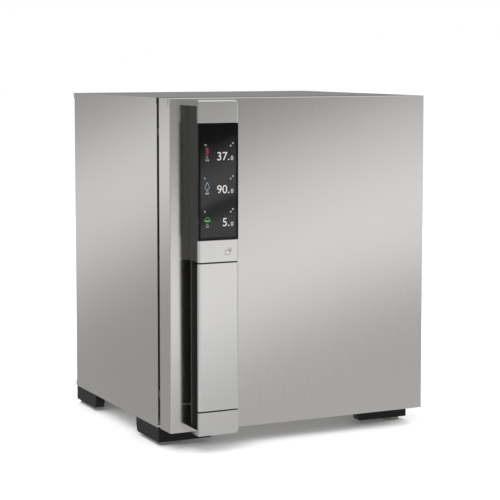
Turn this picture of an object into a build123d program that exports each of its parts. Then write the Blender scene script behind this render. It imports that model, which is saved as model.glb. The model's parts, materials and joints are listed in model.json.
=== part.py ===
from build123d import *
from math import pi
import os

# Bench carbon dioxide incubator, in millimetres.
# The front faces -Y, +X is right as seen from the front and +Z is up.
# The origin lies on the floor, under the middle of the whole object.

# Cabinet and door
width = 560.0
height = 643.0                  # housing without its feet
housing_depth = 468.0
door_thickness = 52.0
door_gap = 13.0                 # back of the door to the front of the housing
door_lift = 1.0                 # door's lower edge above the underside of the housing
sheet = 1.2                     # outer sheet steel
thin_sheet = 1.0                # liner, panels and trays
flange_height = 11.5            # turned edges of the top cover and base pan
bend_radius = 1.5

# Insulated walls round the chamber
side_wall = 80.0
floor_wall = 109.0
roof_wall = 109.0
rear_insulation = 45.0
service_depth = 86.0            # electronics space between insulation and back panel
liner_corner = 30.0
liner_rear_round = 18.0
liner_flange = 12.0
frame_sheet = 1.5
heater_thickness = 1.0
heater_front = 20.0             # foils begin behind the liner's front
heater_rear = 25.0

# Feet
foot_height = 29.0
foot_arm = 117.0
foot_width = 20.0
foot_front_step = 4.0           # front feet reach this far in front of the housing
foot_rear_inset = 6.0
foot_end_slope = 4.0
pad_height = 8.0
pad_radius = 18.4               # corner radius of the six-sided pad
pad_inset = 21.5                # pad centre from the housing's sides, front and back
foot_boss = 42.0
pad_round = 1.2
stem_radius = 4.0
stem_end = 6.5                  # stem above the base pan's floor
nut_radius = 7.5
nut_height = 5.0
nut_room = 9.0
foot_chamfer = 3.0
foot_toe = 2.0

# Control bar on the door
bar_offset = 38.5               # from the door's left edge
bar_width = 83.0
bar_out = 47.0                  # in front of the door
bar_skin = 7.0                  # depth of the front pieces' side bands
bar_head = 3.0                  # bar's top below the door's top
bar_wall = 2.5
bar_edge = 3.0                  # rounded upright edges
cap_corner = 8.0
cap_leg = 11.0                  # part of a cap that runs back to the door
top_cap_height = 43.0
bottom_cap_height = 45.0
reader_height = 41.0
glass_height = 221.0
seam = 0.5
grip_seam = 3.0                 # shadow gaps over and under the grip
housing_inset = 2.0             # dark housing behind the silver pieces' sides
lower_inset = 5.0
backplate = 3.0
finger_depth = 30.0             # hollow beside the lower post
post_right_inset = 24.0
post_depth = 30.0
glass_thickness = 2.0
glass_round = 1.6
panel_thickness = 3.5
cover_length = 100.0            # slim port cover on the bar's side
cover_height = 6.2
cover_thickness = 1.5
cover_sink = 0.3
cover_drop = 81.0               # from the top of the glass to the cover's top
cover_setback = 33.4            # cover's rear edge in front of the door

# Grip rod and hinges
rod_radius = 3.0
rod_inset = 10.0                # rod from the bar's right side
rod_setback = 36.0              # rod in front of the door
rod_lug = 10.0
lug_nose = 1.0
running_gap = 0.05
ear_shares = (0.08, 0.5, 0.92)  # places of the grip's ears along its length
ear_height = 14.0
ear_wall = 3.0
hinge_inset = 6.0               # outer hinge line from the right side
hinge_setback = 5.0             # and behind the door
hinge_barrel = 4.5
hinge_pin = 2.5
hinge_neck_left = -7.5          # necks from the hinge line back to the housing
hinge_neck_right = -2.5
leaf_left = 6.0
leaf_right = 4.0
knuckle = 16.0
knuckle_gap = 0.4
hinge_end = 70.0                # hinges from the door's top and bottom
glass_hinge_offset = 25.0       # glass hinge line from the chamber's side
glass_barrel = 3.5
glass_pin = 1.8
glass_neck = 2.5
glass_knuckle = 12.0
glass_hinge_end = 60.0
strap_length = 35.0
strap_sheet = 1.5

# Two-point lock
lock_inset = 2.5
lock_width = 10.0
lock_height = 14.6
lock_end = 58.0
lock_air = 0.7
peg_radius = 2.2
peg_hole = 2.9
peg_length = 8.5
peg_seat = 2.0

# Inner glass door and its seal
pane_overlap = 12.0
pane_thickness = 5.0
pane_corner = 24.0
seal_height = 4.5
seal_width = 8.0
seal_inset = 2.0                # seal's inner edge from the chamber mouth
knob_radius = 9.0
knob_length = 12.0
knob_stem = 4.0
knob_chamfer = 1.0
knob_edge = 22.0

# Outer door's inner side
recess_depth = 12.0
recess_margin = 15.0            # round the glass door
recess_corner = 28.0
gasket_inset = 14.5
gasket_width = 10.0
gasket_corner = 12.0
gasket_inner_corner = 6.0
gasket_air = 0.3
gasket_groove = 2.4

# Chamber furniture
furniture_setback = 36.0        # shelf front behind the liner's front
baffle_depth = 26.0
baffle_margin = 75.0            # from the chamber's sides
baffle_height = 250.0
baffle_corner = 20.0
baffle_air = 12.0               # shelf's back to the baffle
baffle_slot = 6.0
baffle_rings = ((22.0, 16.0), (42.0, 18.0))  # radius of each ring and length of its slots
baffle_pitch = 17.0             # along a ring, from slot to slot
baffle_vents = 5                # in each side of the cover
baffle_vent_tall = 12.0
baffle_vent_edge = 8.0
rail_gap = 10.0                 # shelf's side to the chamber's side
rail_sheet = 1.5
ledge_width = 14.0
ledge_sheet = 1.5
rail_foot = 70.0
rail_short = 20.0               # rail's rear end in front of the shelf's
rail_border = 12.0
rail_bar = 14.0                 # between the rail's windows
rail_windows = 4
ledge_rows = (1, 3)             # ledges on the bars above these rows of windows
shelf_edge = 10.0
shelf_slot_length = 34.0
shelf_slot_width = 8.0
shelf_columns = 7
shelf_rows = 9
tray_gap = 30.0                 # tray's side to the chamber's side
tray_height = 32.0
tray_corner = 20.0
tray_round = 6.0

# Fan
fan_radius = 60.0
fan_hub = 13.0
fan_blades = 11
blade_thickness = 1.6
blade_bow = 9.0
blade_sweep = 4.0
fan_depth = 16.0
fan_plate = 1.5
fan_wall_air = 4.0
shaft_radius = 4.0
shaft_hole = 6.0
motor_radius = 30.0
motor_length = 44.0
motor_grip = 20.0               # length of shaft inside the motor
motor_flange = 8.0
motor_plate = 3.0
motor_box = 22.0                # terminal box on the motor
shaft_nose = 2.0

# Sensors in the rear wall
sensor_share = 2.0 / 3.0        # place of the sensors and ports beside the baffle
probe_radius = 2.0
probe_length = 55.0
probe_rises = (90.0, 110.0)     # above the chamber's middle
gas_sensor_radius = 11.0
gas_sensor_reach = 45.0
gas_sensor_rise = 40.0
humidity_radius = 7.0
humidity_reach = 38.0
gas_neck = 8.0
humidity_neck = 5.0
sensor_round = 2.0
gas_feed_drop = 30.0            # below the chamber's middle

# Back panel
rear_lip = 14.0                 # edge of a side sheet turned in at the back
louvre_gap = 40.0               # between the two columns
louvre_margin = 110.0           # from the cabinet's sides
louvre_pitch = 16.0
louvre_rise = 4.0
louvre_tall = 6.0
louvre_rows = 9
louvre_start = 60.0             # below the top of the cabinet
screw_inset = 7.0
screw_end = 30.0
screw_shank = 1.9
screw_hole = 2.0
screw_slot = 0.8
screw_slot_length = 5.2
screw_slot_depth = 0.7

# Rear fittings
port_radius = 7.0
port_wall = 3.0
port_nose = 2.0                 # sleeve's end in the chamber
port_drop = 117.5               # below the chamber's roof
port_flange = 16.0
port_flange_thickness = 3.0
plug_head = 12.0
plug_head_length = 8.0
plug_length = 30.0
plug_gap = 0.08
plug_round = 2.0
inlet_side = 100.0              # from the cabinet's right side
inlet_height = 62.0
inlet_width = 28.0
inlet_tall = 21.0
inlet_depth = 24.0
socket_width = 24.6
socket_tall = 17.0
socket_depth = 17.0
switch_width = 21.0
switch_tall = 14.0
switch_room = 12.0
rocker_gap = 0.5
rocker_pin = 1.5
rocker_axis = 4.0               # behind the outer face of the back panel
rocker_root = 7.0
rocker_root_half = 3.0
rocker_crown = 1.5              # raised end of the rocker outside its frame
rocker_sink = 1.2
rocker_end = 2.0
inlet_rim = 4.0
inlet_corner = 3.0
socket_corner = 2.0
contact_pitch = 7.0
contact_drop = 2.0
contact_thickness = 2.0
contact_tall = 4.0
contact_setback = 5.0
fitting_flange = 2.5
gas_side = 90.0                 # from the cabinet's left side
gas_height = 62.0
nipple_radius = 3.5
nipple_hex = 7.0
nipple_reach = 24.0
tube_radius = 3.0
board_thickness = 1.6
standoff = 6.0
standoff_radius = 3.0
standoff_inset = 6.0
board_width = 150.0
board_height = 180.0
board_side = 60.0               # from the cabinet's right side
board_rise = 60.0               # above the fan
supply_width = 110.0
supply_height = 160.0
supply_depth = 45.0
supply_side = 70.0
supply_lift = 130.0
supply_slots = 8
valve_lift = 30.0
valve_width = 32.0
valve_body = 30.0
valve_coil_width = 26.0
valve_coil = 38.0
filter_drop = 34.0              # below the gas feed
filter_radius = 16.0
filter_half = 6.0
filter_neck = 10.0
bend = 10.0                     # hoses' bend radius
feed_reach = 4.0                # gas feed's end in the chamber
bore_wall = 1.5
nipple_tail_length = 12.0
nipple_nut = 5.0
nipple_bore = 2.0
barb_length = 2.5
barb_pitch = 3.0
barb_rise = 0.7
screw_head = 3.6
screw_head_height = 1.6

# Stations worked out from the sizes above
left = -width / 2
right = width / 2
base_z = pad_height + foot_height
top_z = base_z + height
total_depth = bar_out + door_thickness + door_gap + housing_depth + nipple_reach
bar_front = -total_depth / 2
door_front = bar_front + bar_out
door_back = door_front + door_thickness
cabinet_front = door_back + door_gap
cabinet_back = cabinet_front + housing_depth
panel_left = left + 2 * sheet
panel_right = right - 2 * sheet
frame_front = cabinet_front + sheet
liner_front = frame_front + frame_sheet
chamber_left = left + side_wall
chamber_right = right - side_wall
chamber_floor = base_z + floor_wall
chamber_roof = top_z - roof_wall
chamber_back = cabinet_back - service_depth - rear_insulation
chamber_mid = (chamber_floor + chamber_roof) / 2
insulation_back = chamber_back + rear_insulation
back_face = cabinet_back - sheet
door_bottom = base_z + door_lift
door_top = top_z
bar_left = left + bar_offset
bar_right = bar_left + bar_width
bar_bottom = door_bottom
bar_top = door_top - bar_head
band_back = bar_front + bar_skin
glass_top = bar_top - top_cap_height - seam
glass_bottom = glass_top - glass_height
reader_top = glass_bottom - seam
reader_bottom = reader_top - reader_height
grip_top = reader_bottom - grip_seam
grip_bottom = bar_bottom + bottom_cap_height + grip_seam
post_left = bar_left + lower_inset + finger_depth
post_right = bar_right - post_right_inset
rod_x = bar_right - rod_inset
rod_y = door_front - rod_setback
hinge_x = right - hinge_inset
hinge_y = door_back + hinge_setback
pane_back = frame_front - seal_height
pane_front = pane_back - pane_thickness
pane_left = chamber_left - pane_overlap
pane_right = chamber_right + pane_overlap
pane_bottom = chamber_floor - pane_overlap
pane_top = chamber_roof + pane_overlap
glass_hinge_x = chamber_right + glass_hinge_offset
glass_hinge_y = (pane_front + pane_back) / 2
furniture_front = liner_front + furniture_setback
baffle_front = chamber_back - baffle_depth
furniture_back = baffle_front - baffle_air
shelf_left = chamber_left + rail_gap
shelf_right = chamber_right - rail_gap
baffle_left = chamber_left + baffle_margin
baffle_right = chamber_right - baffle_margin
rail_back = furniture_back - rail_short
rail_low = chamber_floor + rail_foot
rail_high = chamber_roof - rail_foot
rail_pitch = (rail_high - rail_low - 2 * rail_border) / rail_windows
fan_z = chamber_mid
fan_back = chamber_back - fan_wall_air
motor_front = insulation_back + sheet
sensor_x = chamber_right - baffle_margin * sensor_share
port_x = chamber_left + baffle_margin * sensor_share
port_z = chamber_roof - port_drop
gas_feed_x = port_x
gas_feed_z = fan_z - gas_feed_drop
inlet_x = right - inlet_side
inlet_z = base_z + inlet_height
gas_x = left + gas_side
gas_z = base_z + gas_height
switch_z = inlet_z + (inlet_tall + switch_tall) / 2 + fitting_flange
switch_y = back_face - rocker_axis
valve_z = gas_z + valve_lift
filter_z = gas_feed_z - filter_drop
hose_y = motor_front + filter_radius


def block(x0, x1, y0, y1, z0, z1):
    """Box between two corners."""
    corner = (Align.MIN, Align.MIN, Align.MIN)
    return Pos(x0, y0, z0) * Box(x1 - x0, y1 - y0, z1 - z0, align=corner)


def post(x, y, radius, z0, z1):
    """Upright cylinder."""
    stand = (Align.CENTER, Align.CENTER, Align.MIN)
    return Pos(x, y, z0) * Cylinder(radius, z1 - z0, align=stand)


def pipe(x, z, radius, y0, y1):
    """Cylinder that runs from front to back."""
    stand = (Align.CENTER, Align.CENTER, Align.MIN)
    return Pos(x, y0, z) * Rot(-90, 0, 0) * Cylinder(radius, y1 - y0, align=stand)


def axle(y, z, radius, x0, x1):
    """Cylinder that runs from left to right."""
    stand = (Align.CENTER, Align.CENTER, Align.MIN)
    return Pos(x0, y, z) * Rot(0, 90, 0) * Cylinder(radius, x1 - x0, align=stand)


def slab(x0, x1, z0, z1, corner, y0, y1):
    """Upright plate with rounded corners, y0 in front and y1 behind."""
    outline = Pos((x0 + x1) / 2, (z0 + z1) / 2) * RectangleRounded(x1 - x0, z1 - z0, corner)
    return Pos(0, y1, 0) * extrude(Plane.XZ * outline, y1 - y0)


def hexagon(x, y, radius, z0, z1):
    """Upright six-sided prism."""
    return Pos(x, y, z0) * extrude(RegularPolygon(radius, 6), z1 - z0)


def joined(solids):
    """Separate solids kept in one named piece."""
    return Compound(children=list(solids))


def hinge_fixed(x, y, z, barrel, pin, length, neck_left, neck_right, neck_back):
    """Two outer knuckles with the pin through them, and a neck from each to the frame."""
    half = 1.5 * length + knuckle_gap
    shape = post(x, y, pin, z - half, z + half)
    for low in (z - half, z + half - length):
        shape += post(x, y, barrel, low, low + length)
        shape += block(x + neck_left, x + neck_right, y, neck_back, low, low + length)
    return shape


def hinge_moving(x, y, z, barrel, pin, length, leaf):
    """Middle knuckle with its leaf, bored for the pin."""
    shape = post(x, y, barrel, z - length / 2, z + length / 2) + leaf
    return shape - post(x, y, pin + running_gap, z - length, z + length)


# Cabinet


def tray_sheet(z_plate, z_rim):
    """Sheet with its four edges turned towards z_rim."""
    low, high = min(z_plate, z_rim), max(z_plate, z_rim)
    shell = block(left, right, cabinet_front, cabinet_back, low, high)
    inner_low = low + sheet if z_plate < z_rim else low
    inner_high = high if z_plate < z_rim else high - sheet
    return shell - block(
        left + sheet, right - sheet, frame_front, back_face, inner_low, inner_high
    )


def pad_places():
    """Centres of the four levelling feet."""
    for x in (left + pad_inset, right - pad_inset):
        for y in (cabinet_front + pad_inset, cabinet_back - pad_inset):
            yield x, y


def base_pan():
    pan = tray_sheet(base_z, base_z + flange_height)
    for x, y in pad_places():
        pan -= post(x, y, stem_radius + running_gap, base_z, base_z + sheet)
    return pan


def top_cover():
    return tray_sheet(top_z, top_z - flange_height)


def side_panel(side):
    """Flat side sheet between the two flanges, with a rear edge turned inwards."""
    outer, inner = (left + sheet, panel_left) if side < 0 else (panel_right, right - sheet)
    low, high = base_z + sheet, top_z - sheet
    shape = block(outer, inner, frame_front, back_face, low, high)
    lip_left = inner if side < 0 else outer - rear_lip
    lip_y = back_face - 2 * sheet
    return shape + block(lip_left, lip_left + rear_lip, lip_y, lip_y + sheet, low, high)


def louvre(start, length, z):
    """Pressed hood over a slot, open at its lower side, and the cut that hollows it."""
    profile = Polyline(
        (back_face, z + louvre_tall), (back_face + louvre_rise, z), (back_face, z), close=True
    )
    hood = extrude(Plane.YZ * make_face(profile), length)
    inner_top = z + louvre_tall - sheet
    inner = Polyline(
        (back_face - sheet, inner_top),
        (back_face, inner_top),
        (back_face + louvre_rise - sheet, z),
        (back_face - sheet, z),
        close=True,
    )
    cut = extrude(Plane.YZ * make_face(inner), length - 2 * sheet)
    return Pos(start, 0, 0) * hood, Pos(start + sheet, 0, 0) * cut


def back_panel():
    y0, y1 = back_face - sheet, back_face
    shape = block(panel_left, panel_right, y0, y1, base_z + sheet, top_z - sheet)
    hoods = []
    cuts = []
    length = (width - louvre_gap) / 2 - louvre_margin
    for start in (left + louvre_margin, louvre_gap / 2):
        for row in range(louvre_rows):
            hood, cut = louvre(start, length, top_z - louvre_start - row * louvre_pitch)
            hoods.append(hood)
            cuts.append(cut)
    shape = shape + hoods
    shape = shape - cuts
    shape -= block(
        inlet_x - inlet_width / 2, inlet_x + inlet_width / 2, y0, y1,
        inlet_z - inlet_tall / 2, switch_z + switch_tall / 2 + fitting_flange,
    )
    shape -= pipe(gas_x, gas_z, nipple_radius + 1.0, y0, y1)
    shape -= pipe(port_x, port_z, port_radius + port_wall, y0, y1)
    for x, z in back_screw_places():
        shape -= pipe(x, z, screw_hole, y0, y1)
    return shape


def back_screw_places():
    for x in (panel_left + screw_inset, panel_right - screw_inset):
        for z in (base_z + screw_end, (base_z + top_z) / 2, top_z - screw_end):
            yield x, z


def back_panel_screws():
    screws = []
    outer = back_face + screw_head_height
    for x, z in back_screw_places():
        head = pipe(x, z, screw_head, back_face, outer)
        head -= block(
            x - screw_slot_length / 2, x + screw_slot_length / 2,
            outer - screw_slot_depth, outer, z - screw_slot / 2, z + screw_slot / 2,
        )
        screws.append(head + pipe(x, z, screw_shank, back_face - sheet, back_face))
    return joined(screws)


def chamber_space(growth, y0, y1):
    """Rounded space of the chamber, larger by growth on its sides."""
    return slab(
        chamber_left - growth, chamber_right + growth,
        chamber_floor - growth, chamber_roof + growth,
        liner_corner + growth, y0, y1,
    )


def front_frame():
    plate = block(
        panel_left, panel_right, frame_front, liner_front, base_z + sheet, top_z - sheet
    )
    return plate - chamber_space(0, frame_front, liner_front)


def chamber_liner():
    back = chamber_back + thin_sheet
    shell = chamber_space(thin_sheet, liner_front, back)
    rear_edges = shell.faces().sort_by(Axis.Y)[-1].edges()
    shell = fillet(rear_edges, liner_rear_round)
    hollow = chamber_space(0, liner_front, chamber_back)
    rear_edges = hollow.faces().sort_by(Axis.Y)[-1].edges()
    hollow = fillet(rear_edges, liner_rear_round - thin_sheet)
    shell += chamber_space(liner_flange, liner_front, liner_front + thin_sheet)
    shell -= hollow
    for x, z, radius in rear_openings():
        shell -= pipe(x, z, radius, chamber_back - 1, back + 1)
    return shell


def rear_openings():
    """Holes through the chamber's rear wall: x, z and radius."""
    yield 0.0, fan_z, shaft_hole
    yield port_x, port_z, port_radius + port_wall
    for rise in probe_rises:
        yield sensor_x, chamber_mid + rise, probe_radius
    yield sensor_x, chamber_mid + gas_sensor_rise, gas_neck
    yield sensor_x, chamber_mid, humidity_neck
    yield gas_feed_x, gas_feed_z, tube_radius


def insulation():
    front = liner_front + thin_sheet
    shape = block(
        panel_left, panel_right, front, insulation_back, base_z + sheet, top_z - sheet
    )
    growth = thin_sheet + heater_thickness
    shape -= chamber_space(growth, front, chamber_back + growth)
    for x, z, radius in rear_openings():
        shape -= pipe(x, z, radius, chamber_back, insulation_back)
    for x, y in pad_places():
        shape -= post(x, y, nut_room, base_z, base_z + nut_room)
    return shape


def chamber_heaters():
    """Heater foils on the flat parts of the liner's five walls."""
    inner = thin_sheet
    outer = thin_sheet + heater_thickness
    y0, y1 = liner_front + heater_front, chamber_back - heater_rear
    flat_left, flat_right = chamber_left + liner_corner, chamber_right - liner_corner
    flat_low, flat_high = chamber_floor + liner_corner, chamber_roof - liner_corner
    rear = block(
        flat_left, flat_right, chamber_back + inner, chamber_back + outer, flat_low, flat_high
    )
    for x, z, radius in rear_openings():
        rear -= pipe(x, z, radius, chamber_back, chamber_back + outer)
    return joined((
        block(chamber_left - outer, chamber_left - inner, y0, y1, flat_low, flat_high),
        block(chamber_right + inner, chamber_right + outer, y0, y1, flat_low, flat_high),
        block(flat_left, flat_right, y0, y1, chamber_floor - outer, chamber_floor - inner),
        block(flat_left, flat_right, y0, y1, chamber_roof + inner, chamber_roof + outer),
        rear,
    ))


def foot(side, end):
    """Corner foot: two arms and a boss for the levelling pad."""
    z0, z1 = pad_height, base_z
    outer_x = left if side < 0 else right
    if end < 0:
        outer_y = cabinet_front - foot_front_step
    else:
        outer_y = cabinet_back - foot_rear_inset
    inward_x = 1 if side < 0 else -1
    inward_y = 1 if end < 0 else -1

    def arm(length, along_x):
        """Arm with its far end cut back towards the floor."""
        profile = Polyline(
            (0, z1), (length, z1), (length, (z0 + z1) / 2), (length - foot_end_slope, z0 + foot_toe),
            (length - foot_end_slope - foot_chamfer, z0), (0, z0), close=True,
        )
        plane = Plane.XZ if along_x else Plane.YZ
        shape = extrude(plane * make_face(profile), foot_width)
        return Pos(0, foot_width, 0) * shape if along_x else shape

    corner = arm(foot_arm, True) + arm(foot_arm, False)
    corner += block(0, foot_boss, 0, foot_boss, z0, z1)
    if inward_x < 0:
        corner = mirror(corner, Plane.YZ)
    if inward_y < 0:
        corner = mirror(corner, Plane.XZ)
    shape = Pos(outer_x, outer_y, 0) * corner
    pad_x = outer_x + inward_x * pad_inset
    pad_y = (cabinet_front if end < 0 else cabinet_back) + inward_y * pad_inset
    return shape - post(pad_x, pad_y, stem_radius + running_gap, z0, z1)


def feet(end):
    """Left and right foot of one end."""
    return joined((foot(-1, end), foot(1, end)))


def levelling_feet():
    """Six-sided pads with their threaded stems and lock nuts."""
    feet = []
    nut_z = base_z + sheet
    for x, y in pad_places():
        shape = hexagon(x, y, pad_radius, 0, pad_height)
        shape = fillet(shape.faces().sort_by(Axis.Z)[0].edges(), pad_round)
        shape += post(x, y, stem_radius, pad_height, nut_z + stem_end)
        feet.append(shape + hexagon(x, y, nut_radius, nut_z, nut_z + nut_height))
    return joined(feet)


def hinge_levels():
    return door_bottom + hinge_end, door_top - hinge_end


def glass_hinge_levels():
    return pane_bottom + glass_hinge_end, pane_top - glass_hinge_end


def door_hinge_brackets():
    brackets = []
    for z in hinge_levels():
        brackets.append(hinge_fixed(
            hinge_x, hinge_y, z, hinge_barrel, hinge_pin, knuckle,
            hinge_neck_left, hinge_neck_right, frame_front,
        ))
    return joined(brackets)


def door_hinge_leaves():
    leaves = []
    for z in hinge_levels():
        leaf = block(
            hinge_x - leaf_left, hinge_x + leaf_right, door_back, hinge_y,
            z - knuckle / 2, z + knuckle / 2,
        )
        leaves.append(hinge_moving(hinge_x, hinge_y, z, hinge_barrel, hinge_pin, knuckle, leaf))
    return joined(leaves)


def glass_hinge_brackets():
    brackets = []
    for z in glass_hinge_levels():
        brackets.append(hinge_fixed(
            glass_hinge_x, glass_hinge_y, z, glass_barrel, glass_pin, glass_knuckle,
            -glass_neck, glass_neck, frame_front,
        ))
    return joined(brackets)


def glass_hinge_straps():
    straps = []
    for z in glass_hinge_levels():
        half = glass_knuckle / 2
        strap = block(
            glass_hinge_x - strap_length, glass_hinge_x,
            pane_front - strap_sheet, pane_front, z - half, z + half,
        )
        straps.append(hinge_moving(
            glass_hinge_x, glass_hinge_y, z, glass_barrel, glass_pin, glass_knuckle, strap
        ))
    return joined(straps)


def lock_levels():
    return door_bottom + lock_end, door_top - lock_end - lock_height


def lock_blocks():
    """Catch blocks on the door's left edge, each with a hole for its striker peg."""
    blocks = []
    x0 = left + lock_inset
    for z in lock_levels():
        body = block(x0, x0 + lock_width, door_back, cabinet_front - lock_air, z, z + lock_height)
        body -= pipe(
            x0 + lock_width / 2, z + lock_height / 2, peg_hole,
            door_back + peg_seat, cabinet_front,
        )
        blocks.append(body)
    return joined(blocks)


def striker_pegs():
    pegs = []
    x = left + lock_inset + lock_width / 2
    for z in lock_levels():
        pegs.append(pipe(x, z + lock_height / 2, peg_radius, frame_front - peg_length, frame_front))
    return joined(pegs)


def glass_seal():
    inner = seal_inset
    outer = seal_inset + seal_width
    return chamber_space(outer, pane_back, frame_front) - chamber_space(inner, pane_back, frame_front)


# Chamber furniture


def ledge_top(row):
    return rail_low + rail_border + row * rail_pitch + ledge_sheet / 2


def shelf_rails():
    """Perforated side racks with a ledge for each shelf."""
    rails = []
    y0, y1 = furniture_front, rail_back
    step_y = (y1 - y0 - rail_bar) / rail_windows
    for side in (-1, 1):
        wall = chamber_left if side < 0 else chamber_right - rail_sheet
        rail = block(wall, wall + rail_sheet, y0, y1, rail_low, rail_high)
        for column in range(rail_windows):
            start = y0 + rail_bar + column * step_y
            for row in range(rail_windows):
                z = rail_low + rail_border + row * rail_pitch
                rail -= block(
                    wall, wall + rail_sheet, start, start + step_y - rail_bar,
                    z + rail_bar / 2, z + rail_pitch - rail_bar / 2,
                )
        for row in ledge_rows:
            ledge_x = wall if side < 0 else chamber_right - rail_sheet - ledge_width
            top = ledge_top(row)
            rail += block(ledge_x, ledge_x + rail_sheet + ledge_width, y0, y1, top - ledge_sheet, top)
        rails.append(rail)
    return joined(rails)


def shelf(row):
    """Slotted sheet shelf with turned-up front and rear edges."""
    z = ledge_top(row)
    top = z + thin_sheet
    plate = block(shelf_left, shelf_right, furniture_front, furniture_back, z, top)
    for y in (furniture_front, furniture_back - thin_sheet):
        plate += block(shelf_left, shelf_right, y, y + thin_sheet, z, z + shelf_edge)
    depth = furniture_back - furniture_front
    reach = shelf_right - shelf_left
    slots = []
    for column in range(shelf_columns):
        for row in range(shelf_rows):
            x = shelf_left + reach * (column + 1) / (shelf_columns + 1)
            y = furniture_front + depth * (row + 1) / (shelf_rows + 1)
            slots.append(block(
                x - shelf_slot_length / 2, x + shelf_slot_length / 2,
                y - shelf_slot_width / 2, y + shelf_slot_width / 2, z, top,
            ))
    return plate - slots


def water_tray():
    """Deep-drawn tray with rounded corners."""
    z = chamber_floor
    depth = furniture_back - furniture_front
    place = Pos(0, (furniture_front + furniture_back) / 2, z)
    reach = chamber_right - chamber_left - 2 * tray_gap
    outer = place * extrude(RectangleRounded(reach, depth, tray_corner), tray_height)
    inner_outline = RectangleRounded(
        reach - 2 * thin_sheet, depth - 2 * thin_sheet, tray_corner - thin_sheet
    )
    inner = Pos(0, 0, thin_sheet) * (place * extrude(inner_outline, tray_height))
    outer = fillet(outer.faces().sort_by(Axis.Z)[0].edges(), tray_round)
    inner = fillet(inner.faces().sort_by(Axis.Z)[0].edges(), tray_round - thin_sheet)
    return outer - inner


def air_baffle():
    """Cover over the fan, with a ring of slots in front of the wheel."""
    x0, x1 = baffle_left, baffle_right
    z0, z1 = fan_z - baffle_height / 2, fan_z + baffle_height / 2
    cover = slab(x0, x1, z0, z1, baffle_corner, baffle_front, chamber_back)
    cover -= slab(
        x0 + thin_sheet, x1 - thin_sheet, z0 + thin_sheet, z1 - thin_sheet,
        baffle_corner - thin_sheet, baffle_front + thin_sheet, chamber_back,
    )
    slots = Sketch()
    for radius, length in baffle_rings:
        count = int(2 * pi * radius / baffle_pitch)
        slots += PolarLocations(radius, count) * SlotOverall(length, baffle_slot)
    cut = Pos(0, baffle_front + thin_sheet, fan_z) * extrude(Plane.XZ * slots, thin_sheet)
    cover -= cut
    pitch = (baffle_height - 2 * baffle_corner) / baffle_vents
    for row in range(baffle_vents):
        z = z0 + baffle_corner + (row + 0.5) * pitch - baffle_vent_tall / 2
        cover -= block(
            x0, x1, baffle_front + baffle_vent_edge, chamber_back - baffle_vent_edge,
            z, z + baffle_vent_tall,
        )
    return cover


def fan_wheel():
    """Radial wheel: back plate, hub and backward curved blades."""
    rear = fan_back - fan_plate
    front = rear - fan_depth
    wheel = pipe(0, fan_z, fan_radius, rear, fan_back)
    wheel += pipe(0, fan_z, fan_hub, front, rear)
    root, tip = fan_hub - blade_thickness, fan_radius - blade_thickness
    middle = (root + tip) / 2
    arc = ThreePointArc((root, 0), (middle, blade_bow), (tip, blade_sweep))
    back_arc = ThreePointArc(
        (tip, blade_sweep + blade_thickness), (middle, blade_bow + blade_thickness),
        (root, blade_thickness),
    )
    first = Line(arc @ 1, back_arc @ 0)
    last = Line(back_arc @ 1, arc @ 0)
    blade = make_face(Curve() + [arc, first, back_arc, last])
    blades = PolarLocations(0, fan_blades) * blade
    wheel += [Pos(0, rear, fan_z) * extrude(Plane.XZ * one, fan_depth) for one in blades]
    return wheel - pipe(0, fan_z, shaft_radius, front, fan_back)


def fan_shaft():
    front = fan_back - fan_plate - fan_depth - shaft_nose
    return pipe(0, fan_z, shaft_radius, front, motor_front + motor_grip)


def fan_motor():
    reach = motor_radius + motor_flange
    motor = pipe(0, fan_z, motor_radius, motor_front, motor_front + motor_length)
    motor += block(
        -reach, reach, motor_front, motor_front + motor_plate, fan_z - reach, fan_z + reach
    )
    box_y = motor_front + (motor_length - motor_box) / 2
    motor += block(
        -motor_box / 2, motor_box / 2, box_y, box_y + motor_box,
        fan_z + motor_box, fan_z + 2 * motor_box,
    )
    bore_end = motor_front + motor_grip + running_gap
    return motor - pipe(0, fan_z, shaft_radius + running_gap, motor_front, bore_end)


def temperature_probes():
    probes = []
    for rise in probe_rises:
        y0 = chamber_back - probe_length
        probes.append(pipe(sensor_x, chamber_mid + rise, probe_radius, y0, insulation_back))
    return joined(probes)


def sensor(rise, radius, neck, reach):
    """Sensor head in the chamber, on a neck that runs through the rear wall."""
    z = chamber_mid + rise
    head = pipe(sensor_x, z, radius, chamber_back - reach, chamber_back)
    head = fillet(head.faces().sort_by(Axis.Y)[0].edges(), sensor_round)
    return head + pipe(sensor_x, z, neck, chamber_back, insulation_back)


def gas_sensor():
    return sensor(gas_sensor_rise, gas_sensor_radius, gas_neck, gas_sensor_reach)


def humidity_sensor():
    return sensor(0.0, humidity_radius, humidity_neck, humidity_reach)


# Service space


def service_plate():
    y0, y1 = insulation_back, motor_front
    plate = block(panel_left, panel_right, y0, y1, base_z + sheet, top_z - sheet)
    plate -= pipe(port_x, port_z, port_radius + port_wall, y0, y1)
    plate -= pipe(0, fan_z, shaft_hole, y0, y1)
    return plate - pipe(gas_feed_x, gas_feed_z, tube_radius, y0, y1)


def circuit_board(x0, x1, y_plate, z0, z1, towards, parts):
    """Board on four standoffs; parts give place and size as shares of the board."""
    sign = 1 if towards > 0 else -1
    near = y_plate + sign * standoff
    far = near + sign * board_thickness
    board = block(x0, x1, min(near, far), max(near, far), z0, z1)
    for x in (x0 + standoff_inset, x1 - standoff_inset):
        for z in (z0 + standoff_inset, z1 - standoff_inset):
            board += pipe(x, z, standoff_radius, min(y_plate, near), max(y_plate, near))
    reach_x, reach_z = x1 - x0, z1 - z0
    for px, pz, wide, tall, deep in parts:
        tip = far + sign * deep * reach_x
        part_x, part_z = x0 + px * reach_x, z0 + pz * reach_z
        board += block(
            part_x, part_x + wide * reach_x, min(far, tip), max(far, tip),
            part_z, part_z + tall * reach_z,
        )
    return board


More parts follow.
